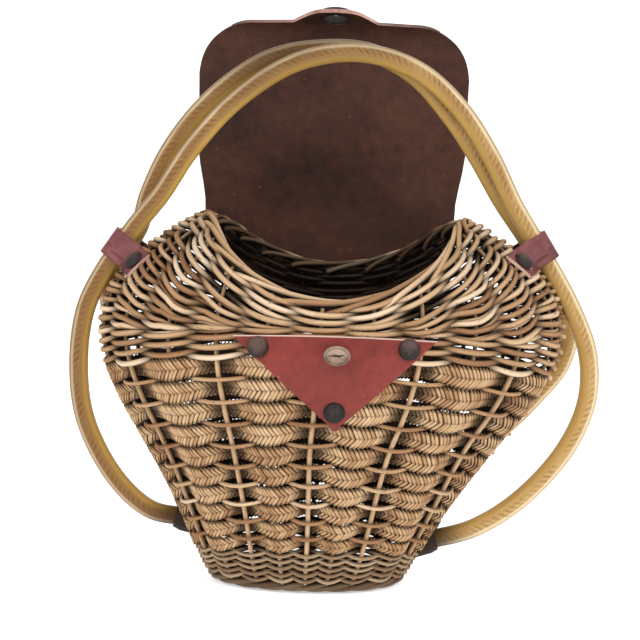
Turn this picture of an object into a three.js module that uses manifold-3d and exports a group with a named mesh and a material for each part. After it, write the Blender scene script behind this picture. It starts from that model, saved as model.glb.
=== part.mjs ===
// A wicker basket handbag: an oval woven body with a scooped mouth, a leather lid standing open behind
// it, two tube handles and a turn button on a leather patch.
// Millimetres, +Z up, front towards -Y, origin at the middle of the base's underside.
import * as THREE from "three";
import { mergeVertices } from "three/addons/utils/BufferGeometryUtils.js";
import Module from "manifold-3d";

const wasm = await Module();
wasm.setup();

const SEAM = 0.3; // gap between pieces that touch

// Levels of the woven wall's outer face. The body leans a little to its right as it rises.
const LEVELS = [
  { height: 0, halfWidth: 62, halfDepth: 30, lean: 0 },
  { height: 10, halfWidth: 68, halfDepth: 34, lean: 0.3 },
  { height: 24, halfWidth: 75, halfDepth: 38, lean: 0.9 },
  { height: 46, halfWidth: 86, halfDepth: 44, lean: 2.6 },
  { height: 71, halfWidth: 101, halfDepth: 52, lean: 5 },
  { height: 96, halfWidth: 118, halfDepth: 60, lean: 7.5 },
  { height: 121, halfWidth: 135, halfDepth: 66, lean: 10 },
  { height: 146, halfWidth: 147, halfDepth: 70, lean: 11.5 },
  { height: 168, halfWidth: 151, halfDepth: 69, lean: 12.3 },
  { height: 188, halfWidth: 147, halfDepth: 64, lean: 12.8 },
  { height: 204, halfWidth: 137, halfDepth: 58, lean: 13 },
  { height: 217, halfWidth: 123, halfDepth: 52, lean: 13 },
  { height: 228, halfWidth: 108, halfDepth: 46, lean: 13 },
  { height: 235, halfWidth: 97, halfDepth: 40, lean: 13 },
  { height: 240, halfWidth: 87, halfDepth: 33, lean: 13 },
];
const OVAL_POWER = 2.2; // 2 is an ellipse, more is squarer
const WALL = 5; // rod over stake, as thick as the woven wall
const BASE_THICKNESS = 4;

// Heights of the zones' edges, at the front and back middle and at the two sides.
const FOOT_TOP = { front: 29.5, back: 29.5, side: 23 };
const BELLY_TOP = { front: 155.5, back: 155.5, side: 141.5 };
const RIM = { front: 184, back: 210, side: 240 };
const BORDER_RADIUS = 3.4;

// The weave: a plait row passes behind every second stake and bulges over the one between.
const STAKES = 24;
const COLUMNS = 2 * STAKES;
const STAKE_LEVEL = 130; // the stakes are evenly spaced round the wall at this height
const PLAIT_ROWS = 10;
const PLAIT_GROWTH = 1.13; // rows grow taller towards the shoulder
const PLAIT_WAVE = 1.6; // how far a row dips behind a stake
const PLAIT_GROOVE = 1.2; // depth of the groove between rows

const LEATHER = 2.5;

// Lid: its inner face's profile from the lower edge at the back wall, up, and over to the tongue's tip.
const LID_PROFILE = [
  { y: 70.2, z: 168 },
  { y: 66.2, z: 186 },
  { y: 63, z: 203 },
  { y: 62.2, z: 214 },
  { y: 63.4, z: 232 },
  { y: 67, z: 262 },
  { y: 71, z: 300 },
  { y: 73.5, z: 335 },
  { y: 73.5, z: 360 },
  { y: 72, z: 374 },
  { y: 68.7, z: 381.4 },
  { y: 63, z: 384.8 },
  { y: 57.5, z: 386 },
  { y: 52, z: 386.6 },
  { y: 46, z: 386.5 },
  { y: 41, z: 385.6 },
];
const LID_MIDDLE = 8.3;
const LID_WIDTHS = [
  { along: 0, half: 70 },
  { along: 80, half: 91 },
  { along: 132, half: 98.5 },
  { along: 166, half: 100 },
  { along: 255, half: 98 },
];
const LID_TOP = 384.2; // the panel's top edge, on either side of the tongue
const LID_TOP_CORNER = { half: 100, radius: 44, power: 2.6 }; // power 2 is round, more is squarer
const LID_LOW_CORNER = { radius: 16, power: 2 };
const LID_WRAP = 5; // how far the lower edge bends round the basket
const LID_ROW = { straight: 22, bend: 6.5, bendFrom: 176 }; // spacing of the sheet's rows
// The tongue's outline as seen from above.
const TONGUE = [
  { y: 76, half: 48 },
  { y: 70, half: 40.5 },
  { y: 65, half: 33 },
  { y: 60, half: 27 },
  { y: 54, half: 21 },
  { y: 48, half: 15 },
  { y: 43.5, half: 8 },
  { y: 41.2, half: 0 },
];
const SLOT = { along: 229, width: 22.5, height: 15.5 };
const EYELET = { rim: 1.3, flange: 2.2, edge: 0.8, collar: 2.6, proud: 0.5 };

// Front patch, as seen from the front.
const PATCH = { left: -44, right: 73, top: 164.6, tip: 112, arch: 1.4, tipHalfWidth: 2.5, middle: 16 };
const PATCH_LIFT = 0.4;
const STUD = { radius: 6.3, height: 4.6, brim: 1.1, sides: 10 };
const PATCH_STUDS = [
  { name: "patch_stud_left", x: -29.5, z: 158.7 },
  { name: "patch_stud_right", x: 57.1, z: 159.7 },
  { name: "patch_stud_tip", x: 15.3, z: 122.1 },
];
const LID_STUDS = [
  { name: "lid_stud_left", x: LID_MIDDLE - 38 },
  { name: "lid_stud_middle", x: LID_MIDDLE },
  { name: "lid_stud_right", x: LID_MIDDLE + 38 },
];
const LID_STUD_ALONG = 11;

// Turn button: its long axis lies level when open, and turns upright to lock.
const KNOB = { x: 15.9, z: 155.6, halfWidth: 7.7, halfHeight: 5.7, neck: 3, neckHeight: 3.2, head: 4.6 };
const KNOB_DOME = [
  { reach: 0.86, rise: 0 },
  { reach: 1, rise: 0.3 },
  { reach: 0.94, rise: 0.65 },
  { reach: 0.7, rise: 0.93 },
  { reach: 0, rise: 1 },
];
const LOCK_PLATE = { halfWidth: 6.4, halfHeight: 4.9, thickness: 1.1, slope: 0.9 };

// Handles: each tube starts and ends at a spot on the wall, and goes over through these points.
const TUBE_RADIUS = 6;
const TUBE_SIDES = 10;
const TUBE_STEPS = 48;
const TUBE_SEAT = 2.8; // from the wall to the tube's cut end
const HANDLES = [
  {
    name: "handle_front",
    start: { angle: 180, height: 38.5 },
    end: { angle: 0, height: 28.5 },
    route: [
      { x: -104, y: -1, z: 42.5 },
      { x: -127, y: -3, z: 63 },
      { x: -147.5, y: -5, z: 102 },
      { x: -152.5, y: -6, z: 140 },
      { x: -148, y: -7, z: 176 },
      { x: -135.5, y: -7, z: 202.6 },
      { x: -126.4, y: -7, z: 216 },
      { x: -117.3, y: -7, z: 229.4 },
      { x: -101.2, y: -7, z: 250 },
      { x: -82.6, y: -7, z: 279.5 },
      { x: -53.8, y: -7, z: 312.3 },
      { x: -16, y: -7, z: 337.5 },
      { x: 24, y: -7, z: 345 },
      { x: 62, y: -7, z: 335 },
      { x: 90.3, y: -7, z: 311.7 },
      { x: 111, y: -7, z: 282.5 },
      { x: 127.5, y: -7, z: 251 },
      { x: 137, y: -7, z: 236 },
      { x: 145.6, y: -7, z: 222.5 },
      { x: 154.2, y: -7, z: 209 },
      { x: 167.5, y: -7, z: 186 },
      { x: 180, y: -6, z: 156 },
      { x: 181, y: -5, z: 124 },
      { x: 168, y: -4, z: 91 },
      { x: 140, y: -2, z: 57 },
      { x: 110, y: -1, z: 36.5 },
    ],
  },
  {
    name: "handle_back",
    start: { angle: 141, height: 50 },
    end: { angle: 39, height: 48 },
    route: [
      { x: -88, y: 46, z: 58 },
      { x: -110, y: 51, z: 80 },
      { x: -127, y: 48, z: 112 },
      { x: -137, y: 38, z: 150 },
      { x: -141, y: 20, z: 183 },
      { x: -135.5, y: 7.4, z: 202.6 },
      { x: -126.4, y: 7, z: 216 },
      { x: -117.9, y: 7, z: 229.8 },
      { x: -112, y: 7.5, z: 252 },
      { x: -98, y: 8, z: 283 },
      { x: -73, y: 8, z: 315.2 },
      { x: -36, y: 8, z: 342.5 },
      { x: 0, y: 8, z: 351 },
      { x: 32, y: 8, z: 349.5 },
      { x: 62, y: 8, z: 335 },
      { x: 86, y: 8, z: 310 },
      { x: 104, y: 8, z: 285 },
      { x: 123, y: 7.5, z: 254 },
      { x: 135.5, y: 7, z: 236.5 },
      { x: 145.6, y: 7, z: 222.5 },
      { x: 154.3, y: 7.8, z: 209 },
      { x: 169, y: 18, z: 187 },
      { x: 178, y: 30, z: 165.5 },
      { x: 174.5, y: 38, z: 142.5 },
      { x: 159.5, y: 44, z: 120 },
      { x: 144, y: 47, z: 102 },
      { x: 117, y: 49, z: 78 },
      { x: 91, y: 46, z: 57 },
    ],
  },
];

// Shoulder straps: laid over both tubes, with a foot on the wall in front of and behind them.
const TABS = [
  { side: "left", x: -126.4, z: 216, rise: { x: 0.562, z: 0.827 }, outward: { x: -0.827, z: 0.562 } },
  { side: "right", x: 145.6, z: 222.5, rise: { x: -0.538, z: 0.843 }, outward: { x: 0.843, z: 0.538 } },
];
const TAB = { width: 19, thickness: 2.2, clearance: 0.9, lift: 0.5, footInner: 18, footOuter: 32 };
const TUBE_SPREAD = 7; // from the strap's middle to each tube's middle
const TAB_STUD_OUT = 25.5;

// Keepers: a short sleeve round each tube's lower end, on a tail that lies on the wall.
const KEEPER = { clearance: 0.7, wall: 1.8, lip: 0.4, length: 5, lift: 0.4 };
const KEEPER_TAIL = { width: 12, up: 17, down: 8, thickness: 1.8 };

const COLOURS = {
  willow: { color: 0xae8a62, roughness: 0.75, metalness: 0 },
  plait: { color: 0xb08c64, roughness: 0.85, metalness: 0 },
  lidLeather: { color: 0x4a2f28, roughness: 0.6, metalness: 0 },
  redLeather: { color: 0x8f4038, roughness: 0.55, metalness: 0 },
  darkLeather: { color: 0x3a2a26, roughness: 0.65, metalness: 0 },
  stud: { color: 0x5f504c, roughness: 0.6, metalness: 0.4 },
  knob: { color: 0xb49c86, roughness: 0.6, metalness: 0.3 },
  eyelet: { color: 0x4a4a48, roughness: 0.5, metalness: 0.7 },
  tube: { color: 0xcfa55e, roughness: 0.25, metalness: 0 },
};

const bag = new THREE.Group();

function addMesh(name, geometry, finish) {
  const mesh = new THREE.Mesh(geometry, new THREE.MeshStandardMaterial(COLOURS[finish]));
  mesh.name = name;
  bag.add(mesh);
  return mesh;
}

// The wall's shape

const levelCurve = new THREE.CubicInterpolant(
  LEVELS.map((row) => row.height),
  LEVELS.flatMap((row) => [row.halfWidth, row.halfDepth, row.lean]),
  3,
);

function levelAt(height) {
  const [halfWidth, halfDepth, lean] = levelCurve.evaluate(height);
  return { halfWidth, halfDepth, lean };
}

// Outward normal of the oval wall at a point on it.
function wallNormal(point) {
  const step = 0.5;
  const here = levelAt(point.z);
  const above = levelAt(point.z + step);
  const below = levelAt(point.z - step);
  const across = (point.x - here.lean) / here.halfWidth;
  const deep = point.y / here.halfDepth;
  const acrossPull = Math.sign(across) * Math.abs(across) ** (OVAL_POWER - 1);
  const deepPull = Math.sign(deep) * Math.abs(deep) ** (OVAL_POWER - 1);
  const widening = (above.halfWidth - below.halfWidth) / (2 * step);
  const deepening = (above.halfDepth - below.halfDepth) / (2 * step);
  const leaning = (above.lean - below.lean) / (2 * step);
  const acrossSlope = (acrossPull * (across * widening + leaning)) / here.halfWidth;
  const deepSlope = (deepPull * deep * deepening) / here.halfDepth;
  return new THREE.Vector3(
    acrossPull / here.halfWidth,
    deepPull / here.halfDepth,
    -acrossSlope - deepSlope,
  ).normalize();
}

// Point of the wall at an angle (0 is the right side, 270 degrees the front), moved out by a distance.
function wallPoint(angle, height, out = 0) {
  const level = levelAt(height);
  const across = Math.sign(Math.cos(angle)) * Math.abs(Math.cos(angle)) ** (2 / OVAL_POWER);
  const deep = Math.sign(Math.sin(angle)) * Math.abs(Math.sin(angle)) ** (2 / OVAL_POWER);
  const point = new THREE.Vector3(level.lean + level.halfWidth * across, level.halfDepth * deep, height);
  return point.addScaledVector(wallNormal(point), out);
}

// Point of the front wall at a place seen from the front, moved out by a distance.
function frontPoint(x, z, out = 0) {
  const level = levelAt(z);
  const across = Math.abs((x - level.lean) / level.halfWidth);
  const deep = (1 - across ** OVAL_POWER) ** (1 / OVAL_POWER);
  const point = new THREE.Vector3(x, -level.halfDepth * deep, z);
  return point.addScaledVector(wallNormal(point), out);
}

// Angles of the columns, evenly spaced round the wall from the middle of the front.
function columnAngles() {
  const fine = 720;
  const front = -Math.PI / 2;
  const angles = Array.from({ length: fine + 1 }, (_, i) => front + (2 * Math.PI * i) / fine);
  const ring = angles.map((angle) => wallPoint(angle, STAKE_LEVEL));
  const lengths = [0];
  for (let i = 1; i <= fine; i++) lengths.push(lengths[i - 1] + ring[i].distanceTo(ring[i - 1]));
  const columns = [];
  let i = 0;
  for (let column = 0; column < COLUMNS; column++) {
    const target = (lengths[fine] * column) / COLUMNS;
    while (lengths[i + 1] < target) i++;
    const share = (target - lengths[i]) / (lengths[i + 1] - lengths[i]);
    columns.push(THREE.MathUtils.lerp(angles[i], angles[i + 1], share));
  }
  return columns;
}
const ANGLES = columnAngles();

function sideShare(angle) {
  return Math.abs(Math.cos(angle)) ** (2 / OVAL_POWER);
}

function middleHeight(edge, angle) {
  return Math.sin(angle) < 0 ? edge.front : edge.back;
}

// A gently bowed edge between two zones.
function zoneHeight(edge, angle) {
  const middle = middleHeight(edge, angle);
  return middle + (edge.side - middle) * sideShare(angle) ** 2;
}

// The saddle-shaped rim: low at the front and back, high at the sides.
function rimHeight(angle) {
  const middle = middleHeight(RIM, angle);
  return middle + (RIM.side - middle) * Math.sin((Math.PI * sideShare(angle)) / 2) ** 2;
}

// Mesh helpers

function closedGeometry(points, triangles) {
  const geometry = new THREE.BufferGeometry().setFromPoints(points);
  let volume = 0;
  for (const [a, b, c] of triangles) {
    volume += points[a].dot(new THREE.Vector3().crossVectors(points[b], points[c]));
  }
  geometry.setIndex(triangles.flatMap(([a, b, c]) => (volume < 0 ? [a, c, b] : [a, b, c])));
  return geometry;
}

// A closed ring: one closed section for each column, each joined to the next.
function ringOf(sections) {
  const size = sections[0].length;
  const triangles = [];
  for (let column = 0; column < sections.length; column++) {
    const next = (column + 1) % sections.length;
    for (let i = 0; i < size; i++) {
      const j = (i + 1) % size;
      const corners = [column * size + i, next * size + i, next * size + j, column * size + j];
      triangles.push([corners[0], corners[1], corners[2]], [corners[0], corners[2], corners[3]]);
    }
  }
  return closedGeometry(sections.flat(), triangles);
}

// A sheet of even thickness: the grid of its first face, thickened along the grid's own normals.
function sheetOf(grid, thickness) {
  const rows = grid.length;
  const columns = grid[0].length;
  const within = (i, count) => THREE.MathUtils.clamp(i, 0, count - 1);
  const at = (i, j) => grid[within(i, rows)][within(j, columns)];
  const far = grid.map((row, i) =>
    row.map((point, j) => {
      const along = at(i + 1, j).clone().sub(at(i - 1, j));
      const across = at(i, j + 1).clone().sub(at(i, j - 1));
      return point.clone().addScaledVector(across.cross(along).normalize(), thickness);
    }),
  );
  const count = rows * columns;
  const near = (i, j) => i * columns + j;
  const triangles = [];
  const quad = (a, b, c, d) => triangles.push([a, b, c], [a, c, d]);
  for (let i = 0; i < rows - 1; i++) {
    for (let j = 0; j < columns - 1; j++) {
      quad(near(i, j), near(i + 1, j), near(i + 1, j + 1), near(i, j + 1));
      quad(count + near(i, j), count + near(i, j + 1), count + near(i + 1, j + 1), count + near(i + 1, j));
    }
  }
  const edge = (a, b) => quad(a, b, count + b, count + a);
  for (let j = 0; j < columns - 1; j++) {
    edge(near(0, j), near(0, j + 1));
    edge(near(rows - 1, j + 1), near(rows - 1, j));
  }
  for (let i = 0; i < rows - 1; i++) {
    edge(near(i + 1, 0), near(i, 0));
    edge(near(i, columns - 1), near(i + 1, columns - 1));
  }
  return closedGeometry([...grid.flat(), ...far.flat()], triangles);
}

function solidOf(geometry) {
  const bare = new THREE.BufferGeometry();
  bare.setAttribute("position", geometry.getAttribute("position").clone());
  bare.setIndex(geometry.index);
  const merged = mergeVertices(bare, 1e-4);
  return new wasm.Manifold(
    new wasm.Mesh({
      numProp: 3,
      vertProperties: new Float32Array(merged.getAttribute("position").array),
      triVerts: new Uint32Array(merged.index.array),
    }),
  );
}

function geometryOf(solid) {
  const mesh = solid.getMesh();
  const geometry = new THREE.BufferGeometry();
  geometry.setAttribute("position", new THREE.BufferAttribute(new Float32Array(mesh.vertProperties), 3));
  geometry.setIndex(new THREE.BufferAttribute(new Uint32Array(mesh.triVerts), 1));
  return geometry;
}

// Frame with its Y axis along a direction and its X axis as near as can be to a second one.
function frameAlong(direction, sideways, origin) {
  const y = direction.clone().normalize();
  const z = new THREE.Vector3().crossVectors(sideways, y).normalize();
  const x = new THREE.Vector3().crossVectors(y, z);
  return new THREE.Matrix4().makeBasis(x, y, z).setPosition(origin);
}

// A body turned about Y from (radius, height) pairs.
function turned(profile, segments) {
  const outline = profile.map(([radius, height]) => new THREE.Vector2(radius, height));
  return new THREE.LatheGeometry(outline, segments);
}

// Basket

function buildBase() {
  const edge = ANGLES.map((angle) => wallPoint(angle, 0, -WALL - 2 * SEAM));
  const outline = new THREE.Shape(edge.map((point) => new THREE.Vector2(point.x, point.y)));
  const geometry = new THREE.ExtrudeGeometry(outline, { depth: BASE_THICKNESS, bevelEnabled: false });
  addMesh("base_mat", geometry, "willow");
}

// A zone of wall between two heights: outer face upwards, then inner face downwards.
function wallBand(lowEdge, highEdge, outerShares, innerShares, dip) {
  return ringOf(
    ANGLES.map((angle, column) => {
      const low = lowEdge(angle);
      const high = highEdge(angle);
      const outer = outerShares.map((share, i) =>
        wallPoint(angle, THREE.MathUtils.lerp(low, high, share), -dip(column, i)),
      );
      const inner = innerShares.map((share) =>
        wallPoint(angle, THREE.MathUtils.lerp(low, high, share), -WALL),
      );
      return [...outer, ...inner.reverse()];
    }),
  );
}

function evenShares(count) {
  return Array.from({ length: count + 1 }, (_, i) => i / count);
}

function buildFoot() {
  const top = (angle) => zoneHeight(FOOT_TOP, angle) - SEAM;
  const geometry = wallBand(() => 0, top, evenShares(5), evenShares(2), () => 0);
  const position = geometry.getAttribute("position");
  const underside = WALL / 2;
  for (let i = 0; i < position.count; i++) {
    if (position.getZ(i) <= underside) position.setZ(i, 0);
  }
  addMesh("foot_band", geometry, "willow");
}

// Each plait row has a crest between two grooves, and dips behind every second stake.
function buildBelly() {
  const edges = evenShares(PLAIT_ROWS).map((share) => share ** PLAIT_GROWTH);
  const shares = [edges[0]];
  for (let row = 0; row < PLAIT_ROWS; row++) {
    shares.push((edges[row] + edges[row + 1]) / 2, edges[row + 1]);
  }
  const dip = (column, i) => {
    const behindStake = (1 + Math.cos((Math.PI * column) / 2)) / 2;
    return i % 2 === 0 ? PLAIT_GROOVE + PLAIT_WAVE / 2 : PLAIT_WAVE * behindStake;
  };
  const low = (angle) => zoneHeight(FOOT_TOP, angle);
  const high = (angle) => zoneHeight(BELLY_TOP, angle) - SEAM;
  addMesh("plaited_wall", wallBand(low, high, shares, evenShares(6), dip), "plait");
}

// The rim's centre line, its direction, and the direction down the wall from it.
function rimFrames() {
  const middles = ANGLES.map((angle) => wallPoint(angle, rimHeight(angle), -WALL / 2));
  return ANGLES.map((angle, column) => {
    const before = middles[(column + COLUMNS - 1) % COLUMNS];
    const after = middles[(column + 1) % COLUMNS];
    const along = after.clone().sub(before).normalize();
    const out = wallNormal(wallPoint(angle, rimHeight(angle)));
    const down = new THREE.Vector3().crossVectors(along, out).normalize();
    if (down.z > 0) down.negate();
    return { middle: middles[column], down, out: new THREE.Vector3().crossVectors(along, down).normalize() };
  });
}

function buildShoulder(frames) {
  const outerShares = [0, 0.16, 0.32, 0.48, 0.62, 0.74];
  const innerShares = [0, 0.25, 0.5, 0.7];
  const seat = BORDER_RADIUS + SEAM;
  const sections = ANGLES.map((angle, column) => {
    const low = zoneHeight(BELLY_TOP, angle);
    const high = rimHeight(angle);
    const wall = (share, out) => wallPoint(angle, THREE.MathUtils.lerp(low, high, share), out);
    const { middle, down } = frames[column];
    const out = wallNormal(wallPoint(angle, high));
    const top = (offset) => middle.clone().addScaledVector(down, seat).addScaledVector(out, offset);
    return [
      ...outerShares.map((share) => wall(share, 0)),
      top(WALL / 2),
      top(-WALL / 2),
      ...innerShares.map((share) => wall(share, -WALL)).reverse(),
    ];
  });
  addMesh("willow_wall", ringOf(sections), "willow");
}

function buildBorder(frames) {
  const sides = 8;
  const sections = frames.map(({ middle, down, out }) =>
    Array.from({ length: sides }, (_, i) => {
      const turn = (2 * Math.PI * (i + 0.5)) / sides;
      return middle
        .clone()
        .addScaledVector(down, BORDER_RADIUS * Math.cos(turn))
        .addScaledVector(out, BORDER_RADIUS * Math.sin(turn));
    }),
  );
  addMesh("rim_border", ringOf(sections), "willow");
}

// Studs

function studGeometry() {
  const { radius, height, brim } = STUD;
  const profile = [[0, 0], [radius, 0], [radius, brim]];
  const dome = 3;
  for (let i = 1; i < dome; i++) {
    const turn = (Math.PI * i) / (2 * dome);
    profile.push([radius * Math.cos(turn), brim + (height - brim) * Math.sin(turn)]);
  }
  profile.push([0, height]);
  return turned(profile, STUD.sides);
}

function addStud(name, seat, normal) {
  const stud = addMesh(name, studGeometry(), "stud");
  stud.applyMatrix4(frameAlong(normal, new THREE.Vector3(0, 0, 1), seat));
}

// Front patch and its lock

function buildPatch() {
  const columns = 12;
  const rows = 8;
  const width = PATCH.right - PATCH.left;
  const grid = [];
  for (let i = 0; i <= rows; i++) {
    const share = 1 - i / rows;
    const row = [];
    for (let j = 0; j <= columns; j++) {
      const side = (2 * j) / columns - 1;
      const edge = PATCH.left + (width * j) / columns;
      const x = THREE.MathUtils.lerp(edge, PATCH.middle + side * PATCH.tipHalfWidth, share);
      const top = PATCH.top + PATCH.arch * (1 - side * side);
      row.push(frontPoint(x, THREE.MathUtils.lerp(top, PATCH.tip, share), PATCH_LIFT));
    }
    grid.push(row);
  }
  addMesh("front_patch", sheetOf(grid, LEATHER), "redLeather");
  for (const { name, x, z } of PATCH_STUDS) {
    const seat = frontPoint(x, z, PATCH_LIFT + LEATHER + SEAM);
    addStud(name, seat, wallNormal(frontPoint(x, z)));
  }
}

function buildLock() {
  const forward = new THREE.Vector3(0, -1, 0);
  const level = new THREE.Vector3(1, 0, 0);
  const plateSeat = frontPoint(KNOB.x, KNOB.z, PATCH_LIFT + LEATHER + SEAM);
  plateSeat.x = KNOB.x;
  plateSeat.z = KNOB.z;
  const segments = 16;
  const { halfWidth, halfHeight, thickness, slope } = LOCK_PLATE;
  const plate = turned([[0, 0], [1, 0], [1, thickness / 2], [slope, thickness], [0, thickness]], segments);
  plate.scale(halfWidth, 1, halfHeight);
  addMesh("lock_plate", plate, "knob").applyMatrix4(frameAlong(forward, level, plateSeat));

  const { neck, neckHeight, head } = KNOB;
  const waist = neck / KNOB.halfHeight;
  const dome = KNOB_DOME.map(({ reach, rise }) => [reach, neckHeight + head * rise]);
  const knob = turned([[0, 0], [waist, 0], [waist, neckHeight], ...dome], segments);
  knob.scale(KNOB.halfWidth, 1, KNOB.halfHeight);
  const knobSeat = plateSeat.clone().addScaledVector(forward, thickness + SEAM);
  addMesh("turn_knob", knob, "knob").applyMatrix4(frameAlong(forward, level, knobSeat));
}

// Lid

const lidCurve = new THREE.CatmullRomCurve3(LID_PROFILE.map(({ y, z }) => new THREE.Vector3(0, y, z)));
lidCurve.arcLengthDivisions = 600;
const LID_LENGTH = lidCurve.getLength();

function lidHalfWidth(along) {
  const upper = LID_WIDTHS.findIndex((row) => row.along >= along);
  const high = LID_WIDTHS[Math.max(upper, 1)];
  const low = LID_WIDTHS[Math.max(upper, 1) - 1];
  const share = THREE.MathUtils.smoothstep(along, low.along, high.along);
  return THREE.MathUtils.lerp(low.half, high.half, share);
}

function lidPoint(side, along) {
  const share = THREE.MathUtils.clamp(along / LID_LENGTH, 0, 1);
  const point = lidCurve.getPointAt(share);
  point.x = LID_MIDDLE + side * lidHalfWidth(along);
  point.y -= LID_WRAP * (1 - share) * side * side;
  return point;
}

function lidFrame(side, along) {
  const up = lidPoint(side, along + 1).sub(lidPoint(side, along - 1));
  const across = lidPoint(side + 0.01, along).sub(lidPoint(side - 0.01, along));
  return { point: lidPoint(side, along), outward: up.cross(across).normalize() };
}

// Everything outside a round corner of the lid, as seen from the front. Up is 1 at the top, -1 below.
function lidCorner(side, up, half, edge, { radius, power }) {
  const outside = 30;
  const depth = 140;
  const x = (reach) => LID_MIDDLE + side * reach;
  const z = (drop) => edge - up * drop;
  const corner = new THREE.Shape();
  corner.moveTo(x(half), z(radius));
  const steps = 9;
  for (let i = 1; i <= steps; i++) {
    const turn = (Math.PI * i) / (2 * steps);
    const inwards = radius * (1 - Math.abs(Math.cos(turn)) ** (2 / power));
    corner.lineTo(x(half - inwards), z(radius * (1 - Math.sin(turn) ** (2 / power))));
  }
  corner.lineTo(x(half - radius), z(-outside));
  corner.lineTo(x(half + outside), z(-outside));
  corner.lineTo(x(half + outside), z(radius));
  const cutter = new THREE.ExtrudeGeometry(corner, { depth, bevelEnabled: false });
  cutter.rotateX(Math.PI / 2);
  cutter.translate(0, depth, 0);
  return solidOf(cutter);
}

// Everything above the panel's top edge that lies outside the tongue.
function besideTongue() {
  const reach = 130;
  const sheet = new THREE.Shape();
  sheet.moveTo(LID_MIDDLE - reach, 0);
  sheet.lineTo(LID_MIDDLE + reach, 0);
  sheet.lineTo(LID_MIDDLE + reach, reach);
  sheet.lineTo(LID_MIDDLE - reach, reach);
  const right = TONGUE.map(({ y, half }) => new THREE.Vector2(LID_MIDDLE + half, y));
  const left = TONGUE.slice(0, -1).map(({ y, half }) => new THREE.Vector2(LID_MIDDLE - half, y));
  const outline = new THREE.SplineCurve([...left, ...right.reverse()]).getPoints(36);
  sheet.holes.push(new THREE.Path(outline));
  const cutter = new THREE.ExtrudeGeometry(sheet, { depth: reach, bevelEnabled: false });
  cutter.translate(0, 0, LID_TOP);
  return solidOf(cutter);
}

function lidSheet() {
  const columns = 8;
  const alongs = [];
  let along = 0;
  while (along < LID_LENGTH) {
    alongs.push(along);
    along += along < LID_ROW.bendFrom ? LID_ROW.straight : LID_ROW.bend;
  }
  alongs.push(LID_LENGTH);
  const sides = Array.from({ length: columns + 1 }, (_, j) => 1 - (2 * j) / columns);
  return sheetOf(alongs.map((at) => sides.map((side) => lidPoint(side, at))), LEATHER);
}

function buildLid() {
  const { point, outward } = lidFrame(0, SLOT.along);
  const level = new THREE.Vector3(1, 0, 0);
  const oval = new THREE.CylinderGeometry(1, 1, 8 * LEATHER, 20);
  oval.scale(SLOT.width / 2, 1, SLOT.height / 2);
  oval.applyMatrix4(frameAlong(outward, level, point));
  let lid = solidOf(lidSheet()).subtract(besideTongue()).subtract(solidOf(oval));
  const low = LID_PROFILE[0];
  for (const side of [-1, 1]) {
    lid = lid.subtract(lidCorner(side, 1, LID_TOP_CORNER.half, LID_TOP, LID_TOP_CORNER));
    lid = lid.subtract(lidCorner(side, -1, LID_WIDTHS[0].half, low.z, LID_LOW_CORNER));
  }
  addMesh("lid", geometryOf(lid), "lidLeather");

  const { rim, flange, edge, collar, proud } = EYELET;
  const shank = SLOT.height / 2 - SEAM;
  const brim = LEATHER + SEAM;
  const ring = turned(
    [
      [shank - rim, -proud],
      [shank, -proud],
      [shank, brim],
      [shank + flange, brim],
      [shank + flange, brim + edge],
      [shank, brim + collar],
      [shank - rim, brim + collar],
      [shank - rim, -proud],
    ],
    20,
  );
  ring.scale(SLOT.width / SLOT.height, 1, 1);
  addMesh("slot_eyelet", ring, "eyelet").applyMatrix4(frameAlong(outward, level, point));

  for (const { name, x } of LID_STUDS) {
    const side = (x - LID_MIDDLE) / lidHalfWidth(LID_STUD_ALONG);
    const stud = lidFrame(side, LID_STUD_ALONG);
    addStud(name, stud.point.addScaledVector(stud.outward, LEATHER + SEAM), stud.outward);
  }
}

// Handles, their lower keepers and the shoulder straps

const radians = THREE.MathUtils.degToRad;

// A block that fills the wall's side of a plane at a distance from the wall.
function wallSide(foot, normal, distance) {
  const size = 60;
  const block = new THREE.BoxGeometry(size, size, size);
  const middle = foot.clone().addScaledVector(normal, distance - size / 2);
  block.applyMatrix4(frameAlong(normal, new THREE.Vector3(0, 0, 1), middle));
  return solidOf(block);
}

function handleSpot({ angle, height }) {
  const foot = wallPoint(radians(angle), height);
  return { foot, normal: wallNormal(foot) };
}

function buildKeeper(name, spot, inwards) {
  const { clearance, wall, lip, length, lift } = KEEPER;
  const { width, up, down, thickness } = KEEPER_TAIL;
  const { foot, normal } = spot;
  const bore = TUBE_RADIUS + clearance;
  const reach = 16; // runs on into the wall, then is cut level with it
  const profile = [
    [bore, -reach],
    [bore + wall, -reach],
    [bore + wall, 0],
    [bore + lip, length],
    [bore, length],
    [bore, -reach],
  ];
  const sleeve = turned(profile, 14);
  const centre = foot.clone().addScaledVector(normal, TUBE_SEAT);
  sleeve.applyMatrix4(frameAlong(inwards.clone().negate(), new THREE.Vector3(0, 0, 1), centre));
  const upwards = new THREE.Vector3(0, 0, 1).addScaledVector(normal, -normal.z).normalize();
  const tail = new THREE.BoxGeometry(up + down, thickness, width);
  const middle = foot
    .clone()
    .addScaledVector(normal, lift + thickness / 2)
    .addScaledVector(upwards, (up - down) / 2);
  tail.applyMatrix4(frameAlong(normal, upwards, middle));
  const solid = solidOf(sleeve).add(solidOf(tail)).subtract(wallSide(foot, normal, lift));
  addMesh(name, geometryOf(solid), "darkLeather");
}

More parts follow.
